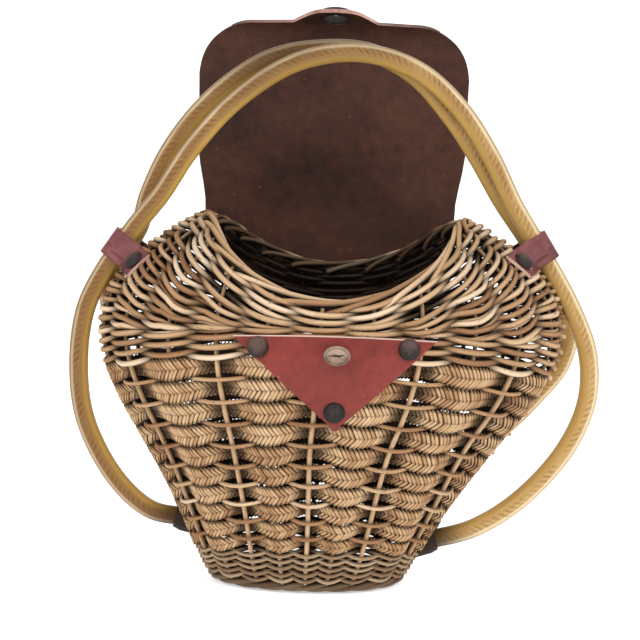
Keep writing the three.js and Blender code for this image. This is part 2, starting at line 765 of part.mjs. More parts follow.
function buildHandle({ name, start, end, route }) {
  const first = handleSpot(start);
  const last = handleSpot(end);
  const buried = 4; // runs on past the seat, then is cut level with the wall
  const points = route.map(({ x, y, z }) => new THREE.Vector3(x, y, z));
  points.unshift(first.foot.clone().addScaledVector(first.normal, TUBE_SEAT));
  points.push(last.foot.clone().addScaledVector(last.normal, TUBE_SEAT));
  const entry = points[0].clone().sub(points[1]).normalize();
  const exit = points.at(-1).clone().sub(points.at(-2)).normalize();
  points.unshift(points[0].clone().addScaledVector(entry, 2 * buried));
  points.push(points.at(-1).clone().addScaledVector(exit, 2 * buried));
  const ring = Array.from({ length: TUBE_SIDES }, (_, i) => {
    const turn = (2 * Math.PI * i) / TUBE_SIDES;
    return new THREE.Vector2(TUBE_RADIUS * Math.cos(turn), TUBE_RADIUS * Math.sin(turn));
  });
  const tube = new THREE.ExtrudeGeometry(new THREE.Shape(ring), {
    steps: TUBE_STEPS,
    extrudePath: new THREE.CatmullRomCurve3(points, false, "centripetal"),
  });
  const solid = solidOf(tube)
    .subtract(wallSide(first.foot, first.normal, TUBE_SEAT))
    .subtract(wallSide(last.foot, last.normal, TUBE_SEAT));
  addMesh(name, geometryOf(solid), "tube");
  const keeper = name.replace("handle", "keeper");
  buildKeeper(keeper + "_left", first, entry);
  buildKeeper(keeper + "_right", last, exit);
}

function insideWall(point) {
  const level = levelAt(point.z);
  const across = Math.abs((point.x - level.lean) / level.halfWidth);
  return across ** OVAL_POWER + Math.abs(point.y / level.halfDepth) ** OVAL_POWER < 1;
}

// Height of the wall in a strap's own plane, measured outwards from the tubes' middle.
function wallUnderStrap(centre, outward, y) {
  let low = -60;
  let high = 0;
  for (let i = 0; i < 30; i++) {
    const middle = (low + high) / 2;
    const probe = centre.clone().addScaledVector(outward, middle);
    probe.y += y;
    if (insideWall(probe)) low = middle;
    else high = middle;
  }
  return high;
}

// The strap's inner face in its own plane: a foot, up and over both tubes, and the other foot.
function strapSection(centre, outward) {
  const { clearance, lift, footInner, footOuter } = TAB;
  const radius = TUBE_RADIUS + clearance;
  const footSteps = 3;
  const arcSteps = 4;
  const half = [];
  for (let i = 0; i <= footSteps; i++) {
    const y = THREE.MathUtils.lerp(footOuter, footInner, i / footSteps);
    half.push({ y, out: (side) => wallUnderStrap(centre, outward, side * y) + lift });
  }
  for (let i = 0; i <= arcSteps; i++) {
    const turn = (Math.PI * i) / (2 * arcSteps);
    const out = radius * Math.sin(turn);
    half.push({ y: TUBE_SPREAD + radius * Math.cos(turn), out: () => out });
  }
  const place = (side) => ({ y, out }) => {
    const point = centre.clone().addScaledVector(outward, out(side));
    point.y += side * y;
    return point;
  };
  return [...half.map(place(-1)), ...half.map(place(1)).reverse()];
}

function buildTab({ side, x, z, rise, outward }) {
  const along = new THREE.Vector3(rise.x, 0, rise.z);
  const out = new THREE.Vector3(outward.x, 0, outward.z);
  const steps = 4;
  const grid = [];
  for (let i = 0; i <= steps; i++) {
    const shift = TAB.width * (i / steps - 0.5);
    const centre = new THREE.Vector3(x, 0, z).addScaledVector(along, shift);
    grid.push(strapSection(centre, out));
  }
  if (out.x < 0) grid.reverse();
  addMesh("shoulder_tab_" + side, sheetOf(grid, TAB.thickness), "redLeather");
  for (const [place, y] of [["front", -TAB_STUD_OUT], ["back", TAB_STUD_OUT]]) {
    const middle = new THREE.Vector3(x, 0, z);
    const foot = middle.clone().addScaledVector(out, wallUnderStrap(middle, out, y));
    foot.y += y;
    const normal = wallNormal(foot);
    const seat = foot.addScaledVector(normal, TAB.lift + TAB.thickness + 2 * SEAM);
    addStud("tab_stud_" + side + "_" + place, seat, normal);
  }
}

buildBase();
buildFoot();
buildBelly();
const frames = rimFrames();
buildShoulder(frames);
buildBorder(frames);
buildPatch();
buildLock();
buildLid();
HANDLES.forEach(buildHandle);
TABS.forEach(buildTab);

export default bag;
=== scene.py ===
"""A wicker basket handbag dressed around its frame: woven willow and straw, leather, tubes and studs.

Sizes are millimetres in the frame's axes, +Z up and the front towards -Y. Meshes are made in metres.
"""

import logging
import math
from collections.abc import Callable, Mapping, Sequence
from dataclasses import dataclass, field
from enum import Enum
from functools import cached_property

import bmesh
import bpy
import numpy as np
from mathutils import Matrix, Vector


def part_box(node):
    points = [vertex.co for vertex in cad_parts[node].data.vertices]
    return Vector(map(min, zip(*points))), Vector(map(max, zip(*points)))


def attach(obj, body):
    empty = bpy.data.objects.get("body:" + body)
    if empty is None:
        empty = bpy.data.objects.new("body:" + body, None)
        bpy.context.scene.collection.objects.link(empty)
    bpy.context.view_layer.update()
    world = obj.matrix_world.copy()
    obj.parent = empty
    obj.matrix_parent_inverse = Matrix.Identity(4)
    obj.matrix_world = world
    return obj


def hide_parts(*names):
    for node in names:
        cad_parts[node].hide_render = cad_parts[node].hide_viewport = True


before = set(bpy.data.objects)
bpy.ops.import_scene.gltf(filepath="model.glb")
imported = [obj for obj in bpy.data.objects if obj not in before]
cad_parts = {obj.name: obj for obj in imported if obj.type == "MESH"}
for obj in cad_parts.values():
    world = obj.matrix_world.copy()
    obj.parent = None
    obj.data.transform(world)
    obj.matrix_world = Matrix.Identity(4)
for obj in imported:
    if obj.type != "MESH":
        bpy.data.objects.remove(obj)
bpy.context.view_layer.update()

Piece = bpy.types.Object
Material = bpy.types.Material
Array = np.ndarray
Values = np.ndarray | float
Span = tuple[float, float]
Place = tuple[float, float, float]
Colour = tuple[float, float, float]
Stops = Sequence[tuple[float, Colour]]
MM = 0.001
TURN = 2 * math.pi
LOG = logging.getLogger("basket")


def srgb(red: int, green: int, blue: int) -> Colour:
    """Makes a colour linear.

    Args:
        red: Red in sRGB, 0 to 255.
        green: Green.
        blue: Blue.

    Returns:
        The colour as a shader takes it.
    """
    def linear(channel: int) -> float:
        """One channel, made linear."""
        share = channel / 255
        return share / 12.92 if share <= 0.04045 else ((share + 0.055) / 1.055) ** 2.4
    return linear(red), linear(green), linear(blue)


def unit(vectors: Array) -> Array:
    """Vectors scaled to length one along the last axis."""
    return vectors / np.maximum(np.linalg.norm(vectors, axis=-1, keepdims=True), 1e-9)


def signed_power(values: Array, power: float) -> Array:
    """Values raised to a power, with their signs kept."""
    return np.sign(values) * np.abs(values) ** power


def smooth_step(values: Values, low: Values, high: Values) -> Array:
    """A smooth rise from 0 at low to 1 at high."""
    share = np.clip((np.asarray(values, float) - low) / (high - low), 0, 1)
    return share * share * (3 - 2 * share)


def layered(*layers: Values) -> Array:
    """Layers of dirt from 0 to 1, one over the other."""
    return 1 - math.prod(1 - layer for layer in layers)


def lengths_along(line: Array) -> Array:
    """Distances along a line of points, from 0 at its start."""
    return np.concatenate([[0], np.cumsum(np.linalg.norm(np.diff(line, axis=0), axis=1))])


def hermite(share: Array, here: Array, leave: Array, after: Array, arrive: Array) -> Array:
    """Joins two values by a smooth curve.

    Args:
        share: How far along, 0 to 1.
        here: The value at 0.
        leave: The slope there.
        after: The value at 1.
        arrive: The slope there.

    Returns:
        The curve at those shares.
    """
    square, cube = share ** 2, share ** 3
    start = (2 * cube - 3 * square + 1) * here + (cube - 2 * square + share) * leave
    return start + (3 * square - 2 * cube) * after + (cube - square) * arrive


def curve_through(points: Array, count: int, dense: int = 24) -> Array:
    """A centripetal curve through points, resampled evenly.

    Args:
        points: The points, one row each.
        count: How many points to return.
        dense: Steps from each point to the next before resampling.

    Returns:
        Points at equal steps along the curve.
    """
    points = np.asarray(points, float)
    padded = np.vstack([2 * points[0] - points[1], points, 2 * points[-1] - points[-2]])
    steps = np.sqrt(np.linalg.norm(np.diff(padded, axis=0), axis=1))
    share = np.linspace(0, 1, dense, endpoint=False)[:, None]
    pieces = []
    for i in range(1, len(padded) - 2):
        before, here, after, beyond = padded[i - 1:i + 3]
        d0, d1, d2 = steps[i - 1:i + 2]
        leave = ((here - before) / d0 - (after - before) / (d0 + d1) + (after - here) / d1) * d1
        arrive = ((after - here) / d1 - (beyond - here) / (d1 + d2) + (beyond - after) / d2) * d1
        pieces.append(hermite(share, here, leave, after, arrive))
    line = np.vstack([*pieces, points[-1:]])
    length = lengths_along(line)
    wanted = np.linspace(0, length[-1], count)
    return np.stack([np.interp(wanted, length, column) for column in line.T], -1)


# Node trees

def math_node(operation: str, reflected: bool = False) -> Callable[..., "Wire"]:
    """Makes an operator that adds one Math node.

    Args:
        operation: The node's operation.
        reflected: Whether the wire comes second, as in 1 - mask.

    Returns:
        The operator, as a method of a wire.
    """
    def operator(wire: "Wire", other: "Wire | float" = 0.0) -> "Wire":
        """The operation's result as another wire."""
        values = (other, wire) if reflected else (wire, other)
        return wire.graph.node("ShaderNodeMath", {"operation": operation}, dict(enumerate(values)))
    return operator


class Wire:
    """A value in a node tree that takes part in Python arithmetic."""

    __add__ = __radd__ = math_node("ADD")
    __mul__ = __rmul__ = math_node("MULTIPLY")
    __sub__, __rsub__ = math_node("SUBTRACT"), math_node("SUBTRACT", reflected=True)
    __truediv__, __rtruediv__ = math_node("DIVIDE"), math_node("DIVIDE", reflected=True)
    __pow__, __rpow__ = math_node("POWER"), math_node("POWER", reflected=True)
    sine = math_node("SINE")
    size = math_node("ABSOLUTE")

    def __init__(self, graph: "Graph", socket: bpy.types.NodeSocket) -> None:
        """Wraps an output socket of a graph."""
        self.graph = graph
        self.socket = socket

    def rise(self, low: float, high: float) -> "Wire":
        """A smooth rise from 0 at low to 1 at high."""
        inputs = {"Value": self, "From Min": low, "From Max": high}
        return self.graph.node("ShaderNodeMapRange", {"interpolation_type": "SMOOTHSTEP"}, inputs)


class Graph:
    """One material's node tree, built from expressions."""

    def __init__(self, name: str) -> None:
        """Starts a material with a Principled shader.

        Args:
            name: The material's name.
        """
        self.material = bpy.data.materials.new(name)
        self.material.use_nodes = True
        self.tree = self.material.node_tree
        self.shader = next(n for n in self.tree.nodes if n.type == "BSDF_PRINCIPLED")

    def node(
        self,
        kind: str,
        settings: Mapping[str, object] | None = None,
        inputs: Mapping[str | int, object] | None = None,
        out: str | int = 0,
    ) -> Wire:
        """Adds a node.

        Args:
            kind: The node's type.
            settings: Its properties, set first; stops gives a ramp's colours.
            inputs: Values or wires of its sockets, by name or index.
            out: The output to return.

        Returns:
            The chosen output as a wire.
        """
        made = self.tree.nodes.new(kind)
        for key, value in (settings or {}).items():
            if key == "stops":
                self._set_stops(made.color_ramp, value)
            else:
                setattr(made, key, value)
        for key, value in (inputs or {}).items():
            self._feed(made.inputs[key], value)
        return Wire(self, made.outputs[out])

    def _set_stops(self, ramp: bpy.types.ColorRamp, stops: Stops) -> None:
        """Gives a ramp its stops.

        Args:
            ramp: The ramp, with two stops of its own.
            stops: Places from 0 to 1 with their colours.
        """
        while len(ramp.elements) < len(stops):
            ramp.elements.new(0.5)
        for element, (place, colour) in zip(ramp.elements, stops):
            element.position = place
            element.color = (*colour, 1)

    def _feed(self, socket: bpy.types.NodeSocket, value: object) -> None:
        """Links a wire to a socket, or sets its value.

        Args:
            socket: An input of a node.
            value: A wire, a number, a vector or a colour.
        """
        if isinstance(value, Wire):
            self.tree.links.new(value.socket, socket)
        elif isinstance(value, tuple) and len(value) == 3 and socket.type == "RGBA":
            socket.default_value = (*value, 1)
        else:
            socket.default_value = value

    def attribute(self, name: str) -> Wire:
        """A mesh attribute's number."""
        return self.node("ShaderNodeAttribute", {"attribute_name": name}, out="Fac")

    def around(self) -> tuple[Wire, Wire]:
        """Cosine and sine of the place round a strand's section."""
        turn = self.attribute("around") * TURN
        return (turn + math.pi / 2).sine(), turn.sine()

    def place(self) -> Wire:
        """Object coordinates."""
        return self.node("ShaderNodeTexCoord", out="Object")

    def vector(self, x: Wire | float, y: Wire | float, z: Wire | float) -> Wire:
        """A vector from three numbers."""
        return self.node("ShaderNodeCombineXYZ", None, {0: x, 1: y, 2: z})

    def noise(self, where: Wire, scale: float, detail: float = 3.0, rough: float = 0.5) -> Wire:
        """Noise from 0 to 1."""
        inputs = {"Vector": where, "Scale": scale, "Detail": detail, "Roughness": rough}
        return self.node("ShaderNodeTexNoise", None, inputs)

    def cells(self, where: Wire, scale: float) -> Wire:
        """Distance to the nearest point of a scattered set."""
        return self.node("ShaderNodeTexVoronoi", None, {"Vector": where, "Scale": scale})

    def ramp(self, value: Wire, stops: Stops) -> Wire:
        """A colour ramp over a value."""
        return self.node("ShaderNodeValToRGB", {"stops": stops}, {0: value})

    def mix(self, factor: Wire | float, first: Wire | Colour, second: Wire | Colour) -> Wire:
        """A mix of two colours."""
        return self.node("ShaderNodeMix", {"data_type": "RGBA"}, {0: factor, 6: first, 7: second}, out=2)

    def bump(self, height: Wire, distance: float) -> Wire:
        """A bumped normal; distance in millimetres."""
        return self.node("ShaderNodeBump", None, {"Height": height, "Distance": distance * MM})

    def finish(self, inputs: Mapping[str, object]) -> Material:
        """Feeds the shader.

        Args:
            inputs: Values or wires of its sockets, by name.

        Returns:
            The material.
        """
        for key, value in inputs.items():
            self._feed(self.shader.inputs[key], value)
        return self.material


# Finishes

@dataclass(frozen=True)
class StrandFinish:
    """Dry willow or straw: a tint for each strand, streaks along it, and painted shade where it dips inside.
    """

    name: str
    tints: Stops
    grime_and_shade: Colour
    streak_length: float = 30.0
    roughness: float = 0.68
    bump: float = 0.25

    def material(self) -> Material:
        """Makes the finish.

        Returns:
            A material that reads the strands' attributes.
        """
        graph = Graph(self.name)
        tone = graph.attribute("tone")
        along = graph.attribute("along")
        ring, rise = graph.around()
        fine = graph.vector(along / self.streak_length, ring * 2.6 + tone * 61, rise * 2.6)
        slow = graph.vector(along / (2.2 * self.streak_length), ring * 0.4, rise * 0.4 + tone * 37)
        streaks = graph.noise(fine, 1.0, 4.0, 0.6)
        patches = graph.noise(slow, 1.0, 2.0)
        colour = graph.ramp(tone * 0.62 + patches * 0.5 + streaks * 0.34 - 0.28, self.tints)
        specks = graph.noise(graph.vector(along / 3.1, ring * 1.3, tone * 83), 1.0, 1.0).rise(0.66, 0.76)
        worn = graph.mix(specks * 0.55, colour, self.grime_and_shade)
        return graph.finish({
            # Darkens towards the grime colour: partly dust, mostly painted shade where strands pass inside,
            # face inside or lie at the back.
            "Base Color": graph.mix(graph.attribute("dirt") * 0.98, worn, self.grime_and_shade),
            "Roughness": self.roughness - 0.22 + streaks * 0.4,
            "Specular IOR Level": 0.2,
            "Normal": graph.bump(streaks, self.bump),
        })


@dataclass(frozen=True)
class LeatherFinish:
    """Leather with grain, mottling, pale scuffs and specks."""

    name: str
    deep: Colour
    main: Colour
    pale: Colour
    scuff: Colour
    roughness: float = 0.5
    grain: float = 0.12
    speckle: float = 0.5
    specular: float = 0.3
    edge_width: float = 0.0
    edge_colour: Colour = srgb(218, 188, 174)

    def material(self) -> Material:
        """Makes the finish.

        Returns:
            A material in object coordinates.
        """
        graph = Graph(self.name)
        where = graph.place()
        clouds = graph.noise(where, 22.0, 4.0, 0.6)
        mottle = graph.noise(where, 140.0, 4.0, 0.6)
        pores = graph.cells(where, 900.0)
        tints = ((0.3, self.deep), (0.5, self.main), (0.72, self.pale))
        base = graph.ramp(clouds * 0.75 + mottle * 0.5 - 0.12, tints)
        specks = graph.cells(where, 130.0).rise(0.14, 0.06) * graph.noise(where, 60.0, 2.0).rise(0.5, 0.62)
        scrapes = graph.noise(where, 330.0, 5.0, 0.7).rise(0.64, 0.74)
        scuffed = graph.mix((specks + scrapes * 0.35) * self.speckle, base, self.scuff)
        return graph.finish({
            "Base Color": self.marks(graph, where, mottle, scuffed),
            "Roughness": self.roughness - 0.12 + mottle * 0.24,
            "Specular IOR Level": self.specular,
            "Normal": graph.bump(pores * 0.5 + mottle * 0.8 + clouds, self.grain),
        })

    def marks(self, graph: Graph, where: Wire, mottle: Wire, colour: Wire) -> Wire:
        """The pale cut along the edge, where the sheet has one.

        Args:
            graph: The material's tree.
            where: Object coordinates.
            mottle: Fine noise.
            colour: The leather so far.

        Returns:
            The leather with its edge.
        """
        if not self.edge_width:
            return colour
        ragged = graph.attribute("edge") + mottle * 0.5 - 0.25
        cut = ragged.rise(self.edge_width + 0.2, self.edge_width - 0.2)
        return graph.mix(cut * 0.85, colour, self.edge_colour)


@dataclass(frozen=True)
class FrontPaleEdge(LeatherFinish):
    """A cut edge that is raw and pale at the front and dark further back."""

    back_edge_colour: Colour = srgb(58, 40, 34)
    raw_before: float = 60.0
    dark_behind: float = 66.0

    def marks(self, graph: Graph, where: Wire, mottle: Wire, colour: Wire) -> Wire:
        """The dark stretch.

        Args:
            graph: The material's tree.
            where: Object coordinates.
            mottle: Fine noise.
            colour: The leather so far.

        Returns:
            The leather with its dark stretch.
        """
        back = graph.node("ShaderNodeSeparateXYZ", None, {0: where}, out=1)
        dark = (back + (mottle - 0.5) * 0.004).rise(self.raw_before * MM, self.dark_behind * MM)
        return graph.mix(dark * 0.9, colour, self.back_edge_colour)


@dataclass(frozen=True)
class MetalFinish:
    """Old painted or oxidised metal, worn pale where it stands proud."""

    name: str
    dark: Colour
    main: Colour
    worn: Colour
    roughness: float = 0.55
    metallic: float = 0.1
    top_painted_light: float = 0.05

    def material(self) -> Material:
        """Makes the finish.

        Returns:
            A material with wear at the crown, painted light on the upper side, and an age from the tone.
        """
        graph = Graph(self.name)
        where = graph.place()
        blotch = graph.noise(where, 260.0, 5.0, 0.65)
        grit = graph.noise(where, 900.0, 3.0, 0.6)
        age = graph.attribute("tone") * 0.5 - 0.25
        base = graph.ramp(blotch * 0.8 + grit * 0.3 + age, ((0.35, self.dark), (0.7, self.main)))
        # Wear at the crown, plus painted light that makes the upper side paler.
        crown_wear_and_top_light = graph.attribute("crown") * 0.5 + graph.attribute("upright") * self.top_painted_light
        wear = (crown_wear_and_top_light + blotch * 0.7 + grit * 0.25 + age).rise(0.7, 1.2)
        return graph.finish({
            "Base Color": self.marks(graph, graph.mix(wear, base, self.worn)),
            "Roughness": self.roughness + blotch * 0.25,
            "Metallic": self.metallic,
            "Normal": graph.bump(blotch + grit * 0.4, 0.25),
        })

    def marks(self, graph: Graph, colour: Wire) -> Wire:
        """What lies over the worn metal; nothing here."""
        return colour


@dataclass(frozen=True)
class ButtonFinish(MetalFinish):
    """The turn button's finish, darkened in its ring, with a jagged crack across its face painted dark for
    the shade inside it.
    """

    dirt: Colour = srgb(34, 24, 18)
    ring_radius: float = 4.45
    ring_half: float = 0.55
    crack_half: float = 4.9
    crack_width: float = 1.25

    def marks(self, graph: Graph, colour: Wire) -> Wire:
        """Darkening in the ring, and a crack that is ragged along its upper lip, painted dark for the shade
        inside it.

        Args:
            graph: The material's tree.
            colour: The worn metal.

        Returns:
            The metal with both.
        """
        level, upright = graph.attribute("level"), graph.attribute("upright")
        line = graph.vector(level, 0.0, 0.0)
        bend = graph.noise(line, 0.45, 1.0) * 5.0 - 2.5
        teeth = graph.noise(line, 2.2, 2.0, 0.7)
        reach = 1 - (level / self.crack_half) ** 2
        width = (teeth * 3.0 - 0.85) * reach * self.crack_width
        crack = (width - (upright - bend * 0.45 - 0.3).size()).rise(0.0, 0.16)
        ring = (graph.attribute("reach") - self.ring_radius).size().rise(self.ring_half, 0.1)
        dark_patch = graph.noise(graph.vector(level, upright, 0.0), 0.5, 3.0, 0.6).rise(0.35, 0.7)
        rim = graph.attribute("reach").rise(self.ring_radius, self.ring_radius + 0.6) * 0.6
        ringed = graph.mix((ring + rim) * (dark_patch * 0.35 + 0.1), colour, self.dirt)
        # Painted shade inside the crack: the crack is drawn in the dark colour.
        return graph.mix(crack, ringed, self.dirt)


@dataclass(frozen=True)
class TubeFinish:
    """A glossy amber tube with a twisted cord showing faintly through its front and back."""

    name: str
    inner_side: Colour
    outer_side: Colour
    outer_edge_shade: Colour
    painted_highlight: Colour
    painted_lit_side: Colour
    twist: Colour
    painted_shadow: Colour
    end: Colour
    pitch: float = 4.3
    pale_from: float = 930.0

    def material(self) -> Material:
        """Makes the finish.

        Returns:
            A material for a strand whose around is 0 on the inner side of the handle's bend.
        """
        graph = Graph(self.name)
        along = graph.attribute("along")
        across, front = graph.around()
        clouds = graph.noise(graph.vector(along / 30, across * 0.7, front * 0.7), 1.0, 4.0, 0.6)
        fibres = graph.noise(graph.vector(along / 2.6, across * 3, front * 3), 1.0, 4.0, 0.65)
        grain = graph.noise(graph.vector(along / 45, across * 9, front * 9), 1.0, 3.0, 0.6)
        # Painted shade: the tube turns darker and browner towards the start of its route at the left end;
        # there the cord shows more, the painted highlight dims and the lit inner side grows.
        shadowed_end = (1 - along / self.pale_from + clouds * 0.5 - 0.25).rise(0.2, 0.75)
        # The inner side warmer and the outer side paler: partly the tube's own colour, partly painted light
        # coming through the clear wall.
        wall = graph.mix((across + clouds * 0.5 - 0.25).rise(-0.5, 0.6), self.outer_side, self.inner_side)
        lined = graph.mix(grain.rise(0.5, 0.7) * 0.3, wall, self.twist)
        lay = (along * (TURN / self.pitch) - across * 8.0 + clouds * 6 + fibres * 2.5).sine()
        patches = graph.noise(graph.vector(along / 17, across, front), 1.0, 2.0).rise(0.3, 0.62)
        strokes = (lay + fibres * 1.4 - 0.7).rise(-0.5, 0.9) * (patches * 0.85 + 0.15)
        middle = (across + clouds * 0.4 - 0.15).size().rise(0.62, 0.2)
        core = graph.mix(middle * (strokes * 0.55 + shadowed_end * 0.35), lined, self.twist)
        painted_shadow = graph.mix(shadowed_end * (0.66 - across * 0.2), core, self.painted_shadow)
        # A painted highlight: a pale streak along the outer half of the tube.
        painted_highlight = (across + 0.5 + clouds * 0.3 - 0.15).size().rise(0.3, 0.0) * (1 - shadowed_end * 0.45)
        with_highlight = graph.mix(painted_highlight * 0.72, painted_shadow, self.painted_highlight)
        # Painted shade along the outer silhouette.
        edged = graph.mix((0 - across).rise(0.78, 0.97) * 0.5, with_highlight, self.outer_edge_shade)
        # Painted light: the inner side lit a warm yellow, most at the shaded left end.
        painted_lit_side = graph.mix(across.rise(0.5, 0.85) * (0.15 + shadowed_end * 0.55), edged, self.painted_lit_side)
        spots = graph.noise(graph.vector(along / 6, across * 1.5, front * 1.5), 1.0, 2.0).rise(0.66, 0.78)
        marked = graph.mix(spots * 0.5, painted_lit_side, self.twist)
        return graph.finish({
            # Darker towards the ends, and at the top of the arch, where the dark lid behind is painted as
            # seen through the tube.
            "Base Color": graph.mix(graph.attribute("dirt"), marked, self.end),
            "Roughness": 0.2 + clouds * 0.14,
            "IOR": 1.25,
            "Specular IOR Level": 0.5,
        })


WILLOW = StrandFinish(
    "willow_rods",
    (
        (0.0, srgb(104, 72, 50)), (0.25, srgb(152, 109, 74)), (0.45, srgb(180, 141, 102)),
        (0.62, srgb(212, 177, 138)), (0.8, srgb(239, 212, 181)), (1.0, srgb(198, 171, 146)),
    ),
    # Grime for dark specks, and the colour of the painted shade.
    srgb(23, 11, 4),
)
FOOT_WILLOW = StrandFinish(
    "foot_willow",
    (
        (0.0, srgb(96, 66, 50)), (0.3, srgb(148, 118, 88)), (0.5, srgb(177, 149, 117)),
        (0.75, srgb(202, 177, 147)), (1.0, srgb(160, 140, 120)),
    ),
    # Grime for dark specks, and the colour of the painted shade.
    srgb(24, 13, 5),
)
STRAW = StrandFinish(
    "plaited_straw",
    (
        (0.0, srgb(136, 97, 68)), (0.3, srgb(176, 135, 96)), (0.5, srgb(201, 163, 121)),
        (0.75, srgb(221, 188, 149)), (1.0, srgb(234, 206, 172)),
    ),
    # Grime for dark specks, and the colour of the painted shade.
    srgb(32, 16, 6),
    streak_length=7.0,
    roughness=0.74,
    bump=0.18,
)
LID_INSIDE = LeatherFinish(
    "lid_inside", srgb(44, 26, 21), srgb(64, 38, 29), srgb(80, 50, 38), srgb(140, 108, 90), roughness=0.7,
    speckle=0.25, specular=0.18, edge_width=0.35, edge_colour=srgb(96, 74, 66),
)
RED_LEATHER = LeatherFinish(
    "red_leather", srgb(104, 38, 33), srgb(127, 48, 40), srgb(142, 60, 52), srgb(186, 134, 122),
    roughness=0.46, speckle=0.22, edge_width=0.75, edge_colour=srgb(214, 186, 172),
)
DUSTY_LEATHER = LeatherFinish(
    "dusty_red_leather", srgb(88, 44, 46), srgb(116, 62, 62), srgb(142, 86, 84), srgb(190, 150, 142),
    speckle=0.4, edge_width=0.35, edge_colour=srgb(176, 128, 118),
)
RAW_EDGE = LeatherFinish(
    "raw_leather_edge", srgb(170, 124, 112), srgb(208, 172, 158), srgb(228, 204, 192), srgb(150, 100, 90),
    roughness=0.8, grain=0.3,
)
LID_EDGE = FrontPaleEdge(
    "lid_edge", srgb(150, 104, 92), srgb(192, 150, 136), srgb(216, 184, 170), srgb(130, 84, 74),
    roughness=0.8, grain=0.3,
)
DARK_LEATHER = LeatherFinish(
    "dark_leather", srgb(24, 15, 10), srgb(36, 23, 16), srgb(54, 36, 25), srgb(90, 66, 50), roughness=0.6,
    specular=0.2,
)
STUD_METAL = MetalFinish("stud_metal", srgb(16, 8, 7), srgb(38, 24, 21), srgb(90, 66, 58))
KNOB_METAL = ButtonFinish(
    "knob_metal", srgb(92, 70, 58), srgb(140, 114, 98), srgb(172, 144, 126), roughness=0.62
)
PLATE_METAL = MetalFinish("plate_metal", srgb(48, 38, 33), srgb(84, 70, 62), srgb(120, 104, 94))
EYELET_METAL = MetalFinish(
    "eyelet_metal", srgb(34, 28, 26), srgb(66, 54, 50), srgb(124, 104, 98), metallic=0.4
)
# The tube's highlight, lit inner side, shaded outer edge and shaded left end are painted light and shade.
TUBE = TubeFinish(
    "amber_tube", inner_side=srgb(194, 156, 94), outer_side=srgb(192, 162, 112),
    outer_edge_shade=srgb(146, 122, 86), painted_highlight=srgb(236, 218, 178), painted_lit_side=srgb(222, 180, 92),
    twist=srgb(132, 88, 48), painted_shadow=srgb(112, 73, 38), end=srgb(50, 31, 19),
)


# The basket's form

@dataclass(frozen=True)
class Level:
    """One level of the woven wall's outer face."""

    height: float
    half_width: float
    half_depth: float
    lean: float


@dataclass(frozen=True)
class Edge:
    """Heights of a zone's edge at the front and back middle and at the two sides."""

    front: float
    back: float
    side: float

    def height(self, angle: Array, share: Array) -> Array:
        """Heights at angles, where share is how far they are from the middle towards the sides."""
        middle = np.where(np.sin(angle) < 0, self.front, self.back)
        return middle + (self.side - middle) * share


